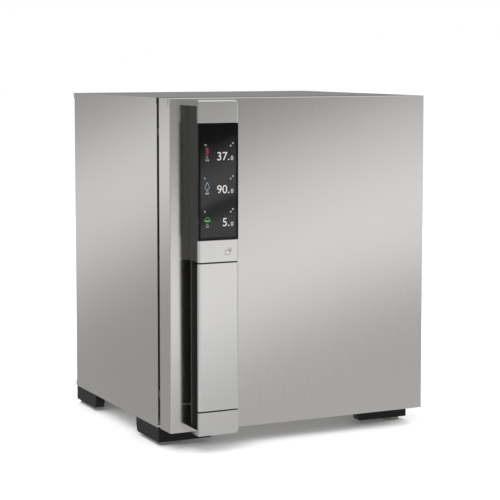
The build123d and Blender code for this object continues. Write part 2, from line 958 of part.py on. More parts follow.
def control_board():
    x1 = right - board_side
    z0 = fan_z + board_rise
    parts = (
        (0.07, 0.11, 0.20, 0.17, 0.04), (0.40, 0.22, 0.16, 0.13, 0.03),
        (0.13, 0.67, 0.60, 0.08, 0.08), (0.67, 0.33, 0.09, 0.22, 0.11),
    )
    return circuit_board(x1 - board_width, x1, motor_front, z0, z0 + board_height, 1, parts)


def power_supply():
    x1 = right - supply_side
    x0 = x1 - supply_width
    y1 = motor_front + supply_depth
    z0 = base_z + supply_lift
    case = block(x0, x1, motor_front, y1, z0, z0 + supply_height)
    pitch = supply_height / (supply_slots + 2)
    for step in range(supply_slots):
        z = z0 + (step + 1.25) * pitch
        case -= block(x0 + pitch, x1 - pitch, y1 - pitch / 5, y1, z, z + pitch / 2)
    return case


def gas_valve():
    x0 = gas_x - valve_width / 2
    body = block(
        x0, x0 + valve_width, motor_front, motor_front + valve_width,
        valve_z, valve_z + valve_body,
    )
    coil = (valve_width - valve_coil_width) / 2
    body += block(
        x0 + coil, x0 + coil + valve_coil_width,
        motor_front + coil, motor_front + coil + valve_coil_width,
        valve_z + valve_body, valve_z + valve_body + valve_coil,
    )
    return body


def gas_filter():
    """Round sterile filter in line with the gas feed."""
    disc = post(gas_feed_x, hose_y, filter_radius, filter_z - filter_half, filter_z + filter_half)
    reach = filter_half + filter_neck
    return disc + post(gas_feed_x, hose_y, tube_radius + bore_wall, filter_z - reach, filter_z + reach)


def routed_tube(points, radii):
    path = FilletPolyline(*points, radius=radii)
    end = Plane(origin=path @ 0, z_dir=path % 0)
    return sweep(end * Circle(tube_radius), path)


def gas_tubes():
    """Hoses from the inlet to the valve, on to the filter and into the chamber."""
    y = hose_y
    nipple_tail = back_face - sheet - nipple_tail_length
    inlet = routed_tube(
        ((gas_x, nipple_tail, gas_z), (gas_x, y, gas_z), (gas_x, y, valve_z)), bend
    )
    valve_top = valve_z + valve_body + valve_coil
    reach = filter_half + filter_neck
    middle = (valve_top + filter_z - reach) / 2
    link = routed_tube(
        (
            (gas_x, y, valve_top), (gas_x, y, middle),
            (gas_feed_x, y, middle), (gas_feed_x, y, filter_z - reach),
        ),
        bend,
    )
    feed = routed_tube(
        (
            (gas_feed_x, y, filter_z + reach), (gas_feed_x, y, gas_feed_z),
            (gas_feed_x, chamber_back - feed_reach, gas_feed_z),
        ),
        bend,
    )
    return joined((inlet, link, feed))


def gas_inlet_nipple():
    """Hose nipple with a nut each side of the panel."""
    y0 = back_face - sheet
    tail = y0 - nipple_tail_length
    tip = cabinet_back + nipple_reach
    body = pipe(gas_x, gas_z, nipple_radius + 1.0, y0 - nipple_nut, back_face + nipple_nut + 1.0)
    flats = Plane.XZ * RegularPolygon(nipple_hex, 6)
    for face in (back_face + nipple_nut, y0):
        body += Pos(gas_x, face, gas_z) * extrude(flats, nipple_nut)
    body += pipe(gas_x, gas_z, nipple_radius, tail, tip)
    for step in range(3):
        barb = Pos(gas_x, tip - barb_length - step * barb_pitch, gas_z) * Rot(-90, 0, 0)
        body += barb * Cone(nipple_radius + barb_rise, nipple_radius, barb_length)
    return body - pipe(gas_x, gas_z, nipple_bore, tail, tip)


def mains_inlet():
    """Combined inlet socket and switch frame in one moulding."""
    x0, x1 = inlet_x - inlet_width / 2, inlet_x + inlet_width / 2
    z0 = inlet_z - inlet_tall / 2
    z1 = switch_z + switch_tall / 2 + fitting_flange
    y1 = back_face + fitting_flange
    body = block(x0, x1, back_face - inlet_depth, back_face, z0, z1)
    body += slab(
        x0 - inlet_rim, x1 + inlet_rim, z0 - inlet_rim, z1 + inlet_rim,
        inlet_corner, back_face, y1,
    )
    socket = slab(
        inlet_x - socket_width / 2, inlet_x + socket_width / 2,
        inlet_z - socket_tall / 2, inlet_z + socket_tall / 2,
        socket_corner, y1 - socket_depth, y1,
    )
    body -= socket
    for dx, dz in ((-contact_pitch, -contact_drop), (contact_pitch, -contact_drop), (0.0, contact_drop)):
        x, z = inlet_x + dx, inlet_z + dz
        body += block(
            x - contact_thickness / 2, x + contact_thickness / 2,
            y1 - socket_depth, y1 - contact_setback, z - contact_tall / 2, z + contact_tall / 2,
        )
    body -= block(
        inlet_x - switch_width / 2, inlet_x + switch_width / 2,
        back_face - switch_room, y1, switch_z - switch_tall / 2, switch_z + switch_tall / 2,
    )
    pin_x = inlet_x - switch_width / 2 - rocker_pin
    return body + axle(
        switch_y, switch_z, rocker_pin, pin_x, pin_x + switch_width + 2 * rocker_pin
    )


def switch_rocker():
    """Rocker on its pin, pressed in at the lower side."""
    x0 = inlet_x - switch_width / 2 + rocker_gap
    x1 = inlet_x + switch_width / 2 - rocker_gap
    y1 = back_face + fitting_flange
    root = back_face - rocker_root
    half = switch_tall / 2 - rocker_end
    profile = Polyline(
        (root, switch_z - rocker_root_half), (y1 - rocker_sink, switch_z - half),
        (y1, switch_z), (y1 + rocker_crown, switch_z + half),
        (root, switch_z + rocker_root_half), close=True,
    )
    rocker = Pos(x0, 0, 0) * extrude(Plane.YZ * make_face(profile), x1 - x0)
    return rocker - axle(switch_y, switch_z, rocker_pin + running_gap, x0, x1)


def access_port_tube():
    """Sleeve through the rear wall for probes, with a flange at its outer end."""
    outer = port_radius + port_wall
    front, rear = chamber_back - port_nose, back_face + port_flange_thickness
    tube = pipe(port_x, port_z, outer, front, rear)
    tube += pipe(port_x, port_z, port_flange, back_face, rear)
    return tube - pipe(port_x, port_z, port_radius, front, rear)


def access_port_plug():
    face = back_face + port_flange_thickness
    plug = pipe(port_x, port_z, port_radius - plug_gap, face - plug_length, face)
    head = pipe(port_x, port_z, plug_head, face, face + plug_head_length)
    head = fillet(head.faces().sort_by(Axis.Y)[-1].edges(), plug_round)
    return plug + head


# Outer door


def door_slab(margin, corner, y0, y1):
    """Upright plate, smaller than the door by margin all round."""
    return slab(
        left + margin, right - margin, door_bottom + margin, door_top - margin, corner, y0, y1
    )


def recess_slab(growth, y0, y1):
    reach = recess_margin + growth
    return slab(
        pane_left - reach, glass_hinge_x + reach, pane_bottom - reach, pane_top + reach,
        recess_corner + growth, y0, y1,
    )


def door_outer_skin():
    shell = block(left, right, door_front, door_back, door_bottom, door_top)
    shell = fillet(shell.faces().sort_by(Axis.Y)[0].edges(), bend_radius)
    return shell - block(
        left + sheet, right - sheet, door_front + sheet, door_back,
        door_bottom + sheet, door_top - sheet,
    )


def door_inner_panel():
    """Sheet with a drawn recess that gives the glass door its room."""
    y0 = door_back - thin_sheet
    floor_y = door_back - recess_depth
    plate = block(
        left + sheet, right - sheet, y0, door_back, door_bottom + sheet, door_top - sheet
    )
    plate += recess_slab(thin_sheet, floor_y - thin_sheet, y0)
    return plate - recess_slab(0, floor_y, door_back)


def door_insulation():
    back = door_back - thin_sheet
    floor_y = door_back - recess_depth - thin_sheet - heater_thickness
    fill = block(
        left + sheet, right - sheet, door_front + sheet, back,
        door_bottom + sheet, door_top - sheet,
    )
    return fill - recess_slab(thin_sheet, floor_y, back)


def door_heater():
    """Heater foil on the door side of the recess."""
    back = door_back - recess_depth - thin_sheet
    return recess_slab(-recess_margin, back - heater_thickness, back)


def door_gasket():
    """Bellows gasket with a fold on its inner and outer side."""
    back = frame_front - gasket_air
    outer = gasket_inset
    inner = gasket_inset + gasket_width
    ring = door_slab(outer, gasket_corner, door_back, back)
    ring -= door_slab(inner, gasket_inner_corner, door_back, back)
    fold_y = (door_back + back) / 2 - gasket_groove / 2
    fold_end = fold_y + gasket_groove
    outer_fold = door_slab(outer, gasket_corner, fold_y, fold_end)
    outer_fold -= door_slab(outer + gasket_groove, gasket_corner - gasket_groove, fold_y, fold_end)
    inner_fold = door_slab(
        inner - gasket_groove, gasket_inner_corner + gasket_groove, fold_y, fold_end
    )
    return ring - outer_fold - inner_fold


# Control bar


def bar_housing():
    """Two dark mouldings on the door: one hollow behind the display, one with a post behind the grip."""
    x0, x1 = bar_left + housing_inset, bar_right - housing_inset
    top = bar_top - cap_leg
    rod_top = reader_bottom + 2 * bar_wall
    upper = block(x0, x1, band_back, door_front, reader_bottom, top)
    upper -= block(
        x0 + bar_wall, x1 - bar_wall, band_back, door_front - bar_wall,
        rod_top, top - bar_wall,
    )
    cover_top = glass_top - cover_drop
    upper -= block(
        x0, x0 + cover_thickness, door_front - cover_setback - cover_height,
        door_front - cover_setback, cover_top - cover_length, cover_top,
    )
    upper -= post(rod_x, rod_y, rod_radius, reader_bottom, rod_top)
    low = bar_bottom + cap_leg
    rear = door_front - backplate
    lower = block(
        bar_left + lower_inset, bar_right - lower_inset, rear, door_front, low, reader_bottom
    )
    lower += block(post_left, post_right, door_front - post_depth, rear, low, reader_bottom)
    lug_top = grip_bottom - grip_seam
    lug_low = lug_top - rod_lug
    lower += block(
        post_left, rod_x + rod_radius + ear_wall, rod_y - rod_radius - lug_nose, rear,
        lug_low, lug_top,
    )
    lower -= post(rod_x, rod_y, rod_radius, lug_low, lug_top)
    return joined((upper, lower))


def side_port_cover():
    """Slim cover let into the bar's left side."""
    x0 = bar_left + housing_inset
    cover_top = glass_top - cover_drop
    return block(
        x0 + cover_sink, x0 + cover_thickness, door_front - cover_setback - cover_height,
        door_front - cover_setback, cover_top - cover_length, cover_top,
    )


def front_shell(z0, z1):
    """Front piece of the bar: face and two side bands with rounded edges, hollow behind."""
    shell = block(bar_left, bar_right, bar_front, band_back, z0, z1)
    uprights = shell.edges().filter_by(Axis.Z).group_by(Axis.Y)[0]
    shell = fillet(uprights, bar_edge)
    return shell - block(
        bar_left + bar_wall, bar_right - bar_wall, bar_front + bar_wall, band_back,
        z0 + bar_wall, z1 - bar_wall,
    )


def grip_plate():
    """Long pull plate with ears that turn on the rod."""
    plate = front_shell(grip_bottom, grip_top)
    for share in ear_shares:
        z = grip_bottom + (grip_top - grip_bottom) * share
        z0, z1 = z - ear_height / 2, z + ear_height / 2
        ear = post(rod_x, rod_y, rod_radius + ear_wall, z0, z1)
        ear += block(
            rod_x - rod_radius - ear_wall, rod_x + rod_radius + ear_wall,
            bar_front + bar_wall, rod_y, z0, z1,
        )
        plate += ear
    return plate - post(rod_x, rod_y, rod_radius + running_gap, grip_bottom, grip_top)


def grip_rod():
    lug_low = grip_bottom - grip_seam - rod_lug
    return post(rod_x, rod_y, rod_radius, lug_low, reader_bottom + 2 * bar_wall)


def cap(z_end, z_seam):
    """Cast end cap: a leg back to the door and a front with a rounded nose."""
    rise = 1 if z_end > z_seam else -1
    leg_z = z_end - rise * cap_leg
    low, high = min(z_end, z_seam), max(z_end, z_seam)
    front = block(bar_left, bar_right, bar_front, band_back, low, high)
    leg_low, leg_high = min(z_end, leg_z), max(z_end, leg_z)
    body = front + block(bar_left, bar_right, band_back, door_front, leg_low, leg_high)
    corner = body.edges().filter_by(Axis.Y).group_by(Axis.Z)[-1 if rise > 0 else 0]
    body = fillet(corner.sort_by(Axis.X)[-1], cap_corner)
    ends = body.edges().filter_by(Axis.X).group_by(Axis.Z)[-1 if rise > 0 else 0]
    body = fillet(ends.sort_by(Axis.Y)[0], bar_edge)
    pocket_low = low + (bar_wall if rise > 0 else cap_leg)
    pocket_high = high - (cap_leg if rise > 0 else bar_wall)
    return body - block(
        bar_left + bar_wall, bar_right - bar_wall, bar_front + bar_wall, band_back,
        pocket_low, pocket_high,
    )


def top_cap():
    return cap(bar_top, bar_top - top_cap_height)


def bottom_cap():
    return cap(bar_bottom, bar_bottom + bottom_cap_height)


def reader_cover():
    return front_shell(reader_bottom, reader_top)


def display_frame():
    """Black frame that carries the glass on the bar's front."""
    y0 = bar_front + glass_thickness
    frame = block(bar_left, bar_right, y0, band_back, glass_bottom, glass_top)
    return frame - block(
        bar_left + 2 * bar_wall, bar_right - 2 * bar_wall, y0, band_back,
        glass_bottom + 2 * bar_wall, glass_top - 2 * bar_wall,
    )


def display_glass():
    y1 = bar_front + glass_thickness
    glass = block(bar_left, bar_right, bar_front, y1, glass_bottom, glass_top)
    uprights = glass.edges().filter_by(Axis.Z).group_by(Axis.Y)[0]
    return fillet(uprights, glass_round)


def display_panel():
    """Liquid crystal panel behind the glass."""
    y0 = bar_front + glass_thickness
    return block(
        bar_left + 2 * bar_wall, bar_right - 2 * bar_wall, y0, y0 + panel_thickness,
        glass_bottom + 2 * bar_wall, glass_top - 2 * bar_wall,
    )


def display_board():
    x0 = bar_left + housing_inset + bar_wall
    x1 = bar_right - housing_inset - bar_wall
    parts = (
        (0.14, 0.14, 0.55, 0.14, 0.06), (0.19, 0.43, 0.33, 0.11, 0.04), (0.28, 0.77, 0.61, 0.05, 0.11)
    )
    return circuit_board(
        x0 + 1.0, x1 - 1.0, door_front - bar_wall,
        glass_bottom + standoff, glass_top - standoff, -1, parts,
    )


# Inner glass door


def knob_place():
    return pane_left + knob_edge, chamber_mid


def glass_pane():
    pane = slab(pane_left, pane_right, pane_bottom, pane_top, pane_corner, pane_front, pane_back)
    x, z = knob_place()
    return pane - pipe(x, z, knob_stem, pane_front, pane_back)


def glass_knob():
    """Turned knob with its stem through the pane."""
    x, z = knob_place()
    outline = Polyline(
        (0, 0), (knob_radius * 0.7, 0), (knob_radius * 0.55, knob_length / 3),
        (knob_radius, knob_length * 0.6), (knob_radius, knob_length - knob_chamfer),
        (knob_radius - knob_chamfer, knob_length), (0, knob_length), close=True,
    )
    turned = revolve(Plane.XZ * make_face(outline), Axis.Z)
    knob = Pos(x, pane_front, z) * Rot(90, 0, 0) * turned
    return knob + pipe(x, z, knob_stem, pane_front, pane_back)


pieces = {
    "top_cover": top_cover(),
    "base_pan": base_pan(),
    "side_panel_left": side_panel(-1),
    "side_panel_right": side_panel(1),
    "back_panel": back_panel(),
    "back_panel_screws": back_panel_screws(),
    "front_frame": front_frame(),
    "chamber_liner": chamber_liner(),
    "insulation": insulation(),
    "chamber_heaters": chamber_heaters(),
    "front_feet": feet(-1),
    "rear_feet": feet(1),
    "levelling_feet": levelling_feet(),
    "door_hinge_brackets": door_hinge_brackets(),
    "striker_pegs": striker_pegs(),
    "glass_hinge_brackets": glass_hinge_brackets(),
    "glass_seal": glass_seal(),
    "shelf_rails": shelf_rails(),
    "air_baffle": air_baffle(),
    "fan_wheel": fan_wheel(),
    "fan_shaft": fan_shaft(),
    "fan_motor": fan_motor(),
    "temperature_probes": temperature_probes(),
    "gas_sensor": gas_sensor(),
    "humidity_sensor": humidity_sensor(),
    "service_plate": service_plate(),
    "control_board": control_board(),
    "power_supply": power_supply(),
    "gas_valve": gas_valve(),
    "gas_filter": gas_filter(),
    "gas_tubes": gas_tubes(),
    "gas_inlet_nipple": gas_inlet_nipple(),
    "mains_inlet": mains_inlet(),
    "switch_rocker": switch_rocker(),
    "access_port_tube": access_port_tube(),
    "access_port_plug": access_port_plug(),
    "door_outer_skin": door_outer_skin(),
    "door_inner_panel": door_inner_panel(),
    "door_insulation": door_insulation(),
    "door_heater": door_heater(),
    "door_gasket": door_gasket(),
    "door_hinge_leaves": door_hinge_leaves(),
    "lock_blocks": lock_blocks(),
    "bar_housing": bar_housing(),
    "side_port_cover": side_port_cover(),
    "top_cap": top_cap(),
    "display_frame": display_frame(),
    "display_glass": display_glass(),
    "display_panel": display_panel(),
    "display_board": display_board(),
    "reader_cover": reader_cover(),
    "bottom_cap": bottom_cap(),
    "grip_rod": grip_rod(),
    "grip_plate": grip_plate(),
    "glass_pane": glass_pane(),
    "glass_hinge_straps": glass_hinge_straps(),
    "glass_knob": glass_knob(),
    "shelf_upper": shelf(ledge_rows[1]),
    "shelf_lower": shelf(ledge_rows[0]),
    "water_tray": water_tray(),
}

os.makedirs("parts", exist_ok=True)
for name, shape in pieces.items():
    export_step(shape, f"parts/{name}.step")

print("pieces", len(pieces))
print("outer hinge line", hinge_x, hinge_y)
print("glass hinge line", glass_hinge_x, glass_hinge_y)
print("grip rod", rod_x, rod_y)
print("fan axis", fan_z, "switch", switch_y, switch_z)
print("port", port_x, port_z, "back face", back_face)
print("stations", door_front, door_back, cabinet_front, cabinet_back)
print("ledges", ledge_top(ledge_rows[0]), ledge_top(ledge_rows[1]))
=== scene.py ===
import bpy
import bmesh
import json
from math import cos, pi, radians, sin
from mathutils import Matrix, Vector


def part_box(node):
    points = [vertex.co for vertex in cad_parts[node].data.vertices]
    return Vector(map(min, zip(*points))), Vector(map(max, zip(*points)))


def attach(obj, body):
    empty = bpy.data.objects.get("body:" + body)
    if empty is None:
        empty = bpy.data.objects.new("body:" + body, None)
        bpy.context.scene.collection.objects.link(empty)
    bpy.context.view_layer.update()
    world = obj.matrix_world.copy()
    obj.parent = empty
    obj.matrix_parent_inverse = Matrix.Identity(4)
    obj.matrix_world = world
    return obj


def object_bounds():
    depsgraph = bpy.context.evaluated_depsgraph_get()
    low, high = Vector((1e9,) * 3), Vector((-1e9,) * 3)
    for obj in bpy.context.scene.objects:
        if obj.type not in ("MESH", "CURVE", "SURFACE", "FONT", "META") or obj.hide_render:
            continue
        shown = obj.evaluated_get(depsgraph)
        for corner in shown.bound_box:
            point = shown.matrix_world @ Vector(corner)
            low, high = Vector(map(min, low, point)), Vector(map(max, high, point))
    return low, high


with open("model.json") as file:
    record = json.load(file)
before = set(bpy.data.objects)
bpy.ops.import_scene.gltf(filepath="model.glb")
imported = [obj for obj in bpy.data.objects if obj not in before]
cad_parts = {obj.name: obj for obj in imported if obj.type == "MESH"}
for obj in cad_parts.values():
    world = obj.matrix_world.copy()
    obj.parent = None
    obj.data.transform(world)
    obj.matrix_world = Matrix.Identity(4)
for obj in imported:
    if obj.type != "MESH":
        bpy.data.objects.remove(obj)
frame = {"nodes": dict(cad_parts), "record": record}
cadLow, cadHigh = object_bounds()
cadNodes = frame["nodes"]
millimetre = 0.001


# small helpers for node trees

def addNode(tree, kind, **settings):
    node = tree.nodes.new(kind)
    for key, value in settings.items():
        setattr(node, key, value)
    return node


def feed(tree, socket, value):
    # a socket takes either another node's output or a plain value
    if isinstance(value, bpy.types.NodeSocket):
        tree.links.new(value, socket)
    elif value is not None:
        socket.default_value = value


def calculate(tree, operation, *values):
    node = addNode(tree, "ShaderNodeMath", operation=operation)
    for socket, value in zip(node.inputs, values):
        feed(tree, socket, value)
    return node.outputs[0]


def remap(tree, value, fromLow, fromHigh, toLow, toHigh, smooth=False):
    node = addNode(tree, "ShaderNodeMapRange")
    if smooth:
        node.interpolation_type = "SMOOTHSTEP"
    for socket, item in zip(node.inputs, (value, fromLow, fromHigh, toLow, toHigh)):
        feed(tree, socket, item)
    return node.outputs[0]


def blendColours(tree, amount, first, second, kind="MIX"):
    node = addNode(tree, "ShaderNodeMix", data_type="RGBA", blend_type=kind)
    feed(tree, node.inputs[0], amount)
    feed(tree, node.inputs[6], first)
    feed(tree, node.inputs[7], second)
    return node.outputs[2]


def ramp(tree, value, stops, interpolation="LINEAR"):
    node = addNode(tree, "ShaderNodeValToRGB")
    node.color_ramp.interpolation = interpolation
    elements = node.color_ramp.elements
    elements.remove(elements[1])
    for index, (position, colour) in enumerate(stops):
        element = elements.new(position) if index else elements[0]
        element.position = position
        level = colour if isinstance(colour, tuple) else (colour, colour, colour)
        element.color = (*level, 1.0)
    feed(tree, node.inputs[0], value)
    return node.outputs[0]


# camera

photoCamera = {
    "place": (-1.4876, -3.1086, 0.7556),
    "turn": 25.741,          # degrees to the right of straight ahead
    "tilt": 4.943,           # degrees down
    "focalLength": 118.23,
    "sensorWidth": 36.0,
    "riseOfFrame": -0.10,
    "nearest": 0.1,
    "farthest": 200.0,
}


def makeCamera(settings):
    data = bpy.data.cameras.new("photoCamera")
    data.lens = settings["focalLength"]
    data.sensor_width = settings["sensorWidth"]
    data.shift_y = settings["riseOfFrame"]
    data.clip_start, data.clip_end = settings["nearest"], settings["farthest"]
    camera = bpy.data.objects.new("photoCamera", data)
    bpy.context.scene.collection.objects.link(camera)
    camera.location = settings["place"]
    camera.rotation_euler = (radians(90.0 - settings["tilt"]), 0.0, -radians(settings["turn"]))
    bpy.context.scene.camera = camera
    return camera


makeCamera(photoCamera)
bpy.context.scene.view_settings.view_transform = "Standard"
print("camera set at the photograph's angle")


# studio: world, lamps and floor

studio = {
    "plainLevel": 0.55,          # light from all round on matt surfaces
    "frontAzimuth": 25.6,        # the way the door mirrors, degrees from -Y towards +X
    "lean": 0.67,                # how far the reflected bands rise with the azimuth
    "backdrop": 1.0,
    "frontBlend": 0.5,           # how softly one set of bands gives way to the next
    "nearBlend": 0.12,
    # brightness that polished faces mirror, by degrees above the horizon
    "frontBands": (
        (-90, 0.55), (-40, 0.62), (-14, 0.62), (-11.4, 0.52), (-10.5, 0.52), (-9.7, 0.70), (-8.8, 0.98),
        (-7.5, 1.18), (-6.4, 1.12), (-5.3, 0.95), (-4.0, 0.87), (-3.4, 0.72), (-2.6, 0.42), (-1.6, 0.32),
        (0, 0.32), (8, 0.50), (25, 0.90), (60, 1.0), (90, 0.80),
    ),
    "sideBands": (
        (-90, 0.50), (-40, 0.50), (-10, 0.43), (-7.4, 0.40), (-6.4, 0.41), (-5.5, 0.50), (-4.5, 0.75),
        (-3.6, 0.91), (-2.6, 0.97), (-1.7, 0.93), (-0.8, 0.80), (-0.1, 0.58), (0.6, 0.38), (2, 0.36),
        (10, 0.48), (25, 0.85), (60, 1.0), (90, 0.80),
    ),
    # what the top mirrors, and every face that is seen from the right
    "awayBands": (
        (-90, 0.55), (-30, 0.70), (-12, 0.80), (-7, 0.78), (-3, 0.55), (0, 0.34), (4, 0.27), (12, 0.28),
        (30, 0.70), (60, 0.95), (90, 0.80),
    ),
}


def makeWorld(settings):
    world = bpy.data.worlds.new("studioWorld")
    bpy.context.scene.world = world
    world.use_nodes = True
    world.cycles.sampling_method = "NONE"
    tree = world.node_tree
    tree.nodes.clear()
    direction = addNode(tree, "ShaderNodeTexCoord").outputs["Generated"]
    axes = addNode(tree, "ShaderNodeSeparateXYZ")
    feed(tree, axes.inputs[0], direction)
    x, y, z = axes.outputs
    height = calculate(tree, "ARCSINE", z)
    quarter = calculate(tree, "MULTIPLY", calculate(tree, "MULTIPLY", x, y), -1.0)
    middle = sin(radians(2 * settings["frontAzimuth"])) / 2
    lean = calculate(tree, "MULTIPLY", calculate(tree, "SUBTRACT", quarter, middle), settings["lean"])
    leaning = calculate(tree, "SUBTRACT", height, lean)
    along = calculate(tree, "ADD", calculate(tree, "DIVIDE", leaning, pi), 0.5)
    bands = []
    level = calculate(tree, "ADD", calculate(tree, "DIVIDE", height, pi), 0.5)
    for name, place in (("frontBands", along), ("sideBands", along), ("awayBands", level)):
        stops = [(0.5 + angle / 180.0, brightness) for angle, brightness in settings[name]]
        bands.append(ramp(tree, place, stops))
    azimuth = radians(settings["frontAzimuth"])
    facing = calculate(tree, "MULTIPLY", x, sin(azimuth))
    facing = calculate(tree, "SUBTRACT", facing, calculate(tree, "MULTIPLY", y, cos(azimuth)))
    isFront = remap(tree, facing, -settings["frontBlend"], settings["frontBlend"], 0.0, 1.0, smooth=True)
    mirrored = blendColours(tree, isFront, bands[1], bands[0])
    isNear = remap(tree, quarter, -settings["nearBlend"], settings["nearBlend"], 0.0, 1.0, smooth=True)
    mirrored = blendColours(tree, isNear, bands[2], mirrored)
    light = addNode(tree, "ShaderNodeLightPath")
    backdrop = (settings["backdrop"],) * 3 + (1.0,)
    plain = (settings["plainLevel"],) * 3 + (1.0,)
    seen = blendColours(tree, light.outputs["Is Glossy Ray"], plain, mirrored)
    shown = calculate(tree, "MAXIMUM", light.outputs["Is Camera Ray"], light.outputs["Is Transmission Ray"])
    seen = blendColours(tree, shown, seen, backdrop)
    background = addNode(tree, "ShaderNodeBackground")
    feed(tree, background.inputs["Color"], seen)
    output = addNode(tree, "ShaderNodeOutputWorld")
    tree.links.new(background.outputs[0], output.inputs[0])


softboxes = {
    "keyLamp": {"place": (-2.2, -2.6, 2.8), "width": 2.4, "height": 2.4, "watts": 95.0},
    "fillLamp": {"place": (2.8, -2.4, 1.9), "width": 2.6, "height": 2.2, "watts": 45.0},
    "backLamp": {"place": (0.6, 2.8, 2.6), "width": 2.8, "height": 1.8, "watts": 45.0},
}


def makeLamps(settings):
    target = (cadLow + cadHigh) / 2
    for name, lamp in settings.items():
        data = bpy.data.lights.new(name, "AREA")
        data.shape = "RECTANGLE"
        data.size, data.size_y = lamp["width"], lamp["height"]
        data.energy = lamp["watts"]
        holder = bpy.data.objects.new(name, data)
        bpy.context.scene.collection.objects.link(holder)
        holder.location = lamp["place"]
        holder.rotation_mode = "QUATERNION"
        holder.rotation_quaternion = (target - Vector(lamp["place"])).to_track_quat("-Z", "Y")
        holder.visible_glossy = False


floorPlate = {
    "halfSize": 30.0,
    "colour": (0.80, 0.80, 0.80, 1.0),
    "glow": 0.62,               # what the backdrop adds, seen by the camera and through glass only
    "shadowReach": 0.30,
    "shadowSamples": 12,
    "openFloor": 0.92,          # how open to the sky the floor is where the glow is full
}


def makeFloor(settings):
    half = settings["halfSize"]
    mesh = bpy.data.meshes.new("studioFloor")
    corners = [(-half, -half, 0), (half, -half, 0), (half, half, 0), (-half, half, 0)]
    mesh.from_pydata(corners, [], [(0, 1, 2, 3)])
    floor = bpy.data.objects.new("studioFloor", mesh)
    bpy.context.scene.collection.objects.link(floor)
    material = bpy.data.materials.new("studioFloor")
    material.use_nodes = True
    tree = material.node_tree
    tree.nodes.clear()
    light = addNode(tree, "ShaderNodeLightPath")
    matt = addNode(tree, "ShaderNodeBsdfDiffuse")
    matt.inputs["Color"].default_value = settings["colour"]
    glow = addNode(tree, "ShaderNodeEmission")
    seen = calculate(tree, "MAXIMUM", light.outputs["Is Camera Ray"], light.outputs["Is Transmission Ray"])
    openness = addNode(tree, "ShaderNodeAmbientOcclusion", samples=settings["shadowSamples"])
    openness.inputs["Distance"].default_value = settings["shadowReach"]
    strength = remap(tree, openness.outputs["AO"], 0.0, settings["openFloor"], 0.0, settings["glow"])
    feed(tree, glow.inputs["Strength"], calculate(tree, "MULTIPLY", seen, strength))
    both = addNode(tree, "ShaderNodeAddShader")
    tree.links.new(matt.outputs[0], both.inputs[0])
    tree.links.new(glow.outputs[0], both.inputs[1])
    clear = addNode(tree, "ShaderNodeBsdfTransparent")
    choose = addNode(tree, "ShaderNodeMixShader")
    feed(tree, choose.inputs[0], light.outputs["Is Glossy Ray"])
    tree.links.new(both.outputs[0], choose.inputs[1])
    tree.links.new(clear.outputs[0], choose.inputs[2])
    output = addNode(tree, "ShaderNodeOutputMaterial")
    tree.links.new(choose.outputs[0], output.inputs[0])
    mesh.materials.append(material)


makeWorld(studio)
makeLamps(softboxes)
makeFloor(floorPlate)
print("studio ready:", len(softboxes), "lamps, world and floor")


# finishes

noiseLow, noiseHigh = 0.3, 0.7     # most of a noise texture's values lie between these
cloudScale, cloudTone = 3.0, 0.015
roughnessSpread = 0.08


def newFinish(name):
    material = bpy.data.materials.new(name)
    material.use_nodes = True
    tree = material.node_tree
    return material, tree, tree.nodes["Principled BSDF"]


def pattern(tree, scale, stretch=(1.0, 1.0, 1.0), detail=3.0, kind="ShaderNodeTexNoise"):
    place = addNode(tree, "ShaderNodeTexCoord").outputs["Object"]
    mapping = addNode(tree, "ShaderNodeMapping")
    mapping.inputs["Scale"].default_value = stretch
    feed(tree, mapping.inputs["Vector"], place)
    texture = addNode(tree, kind)
    feed(tree, texture.inputs["Vector"], mapping.outputs[0])
    texture.inputs["Scale"].default_value = scale
    if "Detail" in texture.inputs:
        texture.inputs["Detail"].default_value = detail
    return texture.outputs[0]


def bump(tree, shader, height, strength, distance):
    node = addNode(tree, "ShaderNodeBump")
    node.inputs["Strength"].default_value = strength
    node.inputs["Distance"].default_value = distance
    feed(tree, node.inputs["Height"], height)
    feed(tree, shader.inputs["Normal"], node.outputs[0])


def scaled(colour, amount):
    return (colour[0] * amount, colour[1] * amount, colour[2] * amount, 1.0)


def levelTangent(tree):
    # across the surface and level, so that brushed steel blurs sideways on every upright face
    normal = addNode(tree, "ShaderNodeNewGeometry").outputs["Normal"]
    cross = addNode(tree, "ShaderNodeVectorMath", operation="CROSS_PRODUCT")
    feed(tree, cross.inputs[0], normal)
    cross.inputs[1].default_value = (0.0, 0.0, 1.0)
    lying = addNode(tree, "ShaderNodeVectorMath", operation="ADD")
    feed(tree, lying.inputs[0], cross.outputs[0])
    lying.inputs[1].default_value = (0.001, 0.0, 0.0)
    unit = addNode(tree, "ShaderNodeVectorMath", operation="NORMALIZE")
    feed(tree, unit.inputs[0], lying.outputs[0])
    return unit.outputs[0]


def brushedSteel(name, colour, roughness, sideways, grain, grainStretch, tone=0.03, depth=0.02):
    material, tree, shader = newFinish(name)
    lines = pattern(tree, grain, grainStretch, detail=4.0)
    clouds = pattern(tree, cloudScale, detail=2.0)
    shade = remap(tree, lines, noiseLow, noiseHigh, 1.0 - tone, 1.0 + tone)
    cloudy = remap(tree, clouds, noiseLow, noiseHigh, 1.0 - cloudTone, 1.0 + cloudTone)
    level = calculate(tree, "MULTIPLY", shade, cloudy)
    tint = addNode(tree, "ShaderNodeVectorMath", operation="SCALE")
    tint.inputs[0].default_value = colour
    feed(tree, tint.inputs["Scale"], level)
    feed(tree, shader.inputs["Base Color"], tint.outputs[0])
    smooth, coarse = roughness * (1.0 - roughnessSpread), roughness * (1.0 + roughnessSpread)
    feed(tree, shader.inputs["Roughness"], remap(tree, lines, noiseLow, noiseHigh, smooth, coarse))
    shader.inputs["Metallic"].default_value = 1.0
    if sideways:
        shader.inputs["Anisotropic"].default_value = sideways
        feed(tree, shader.inputs["Tangent"], levelTangent(tree))
    if depth:
        bump(tree, shader, lines, depth, 0.0002)
    return material


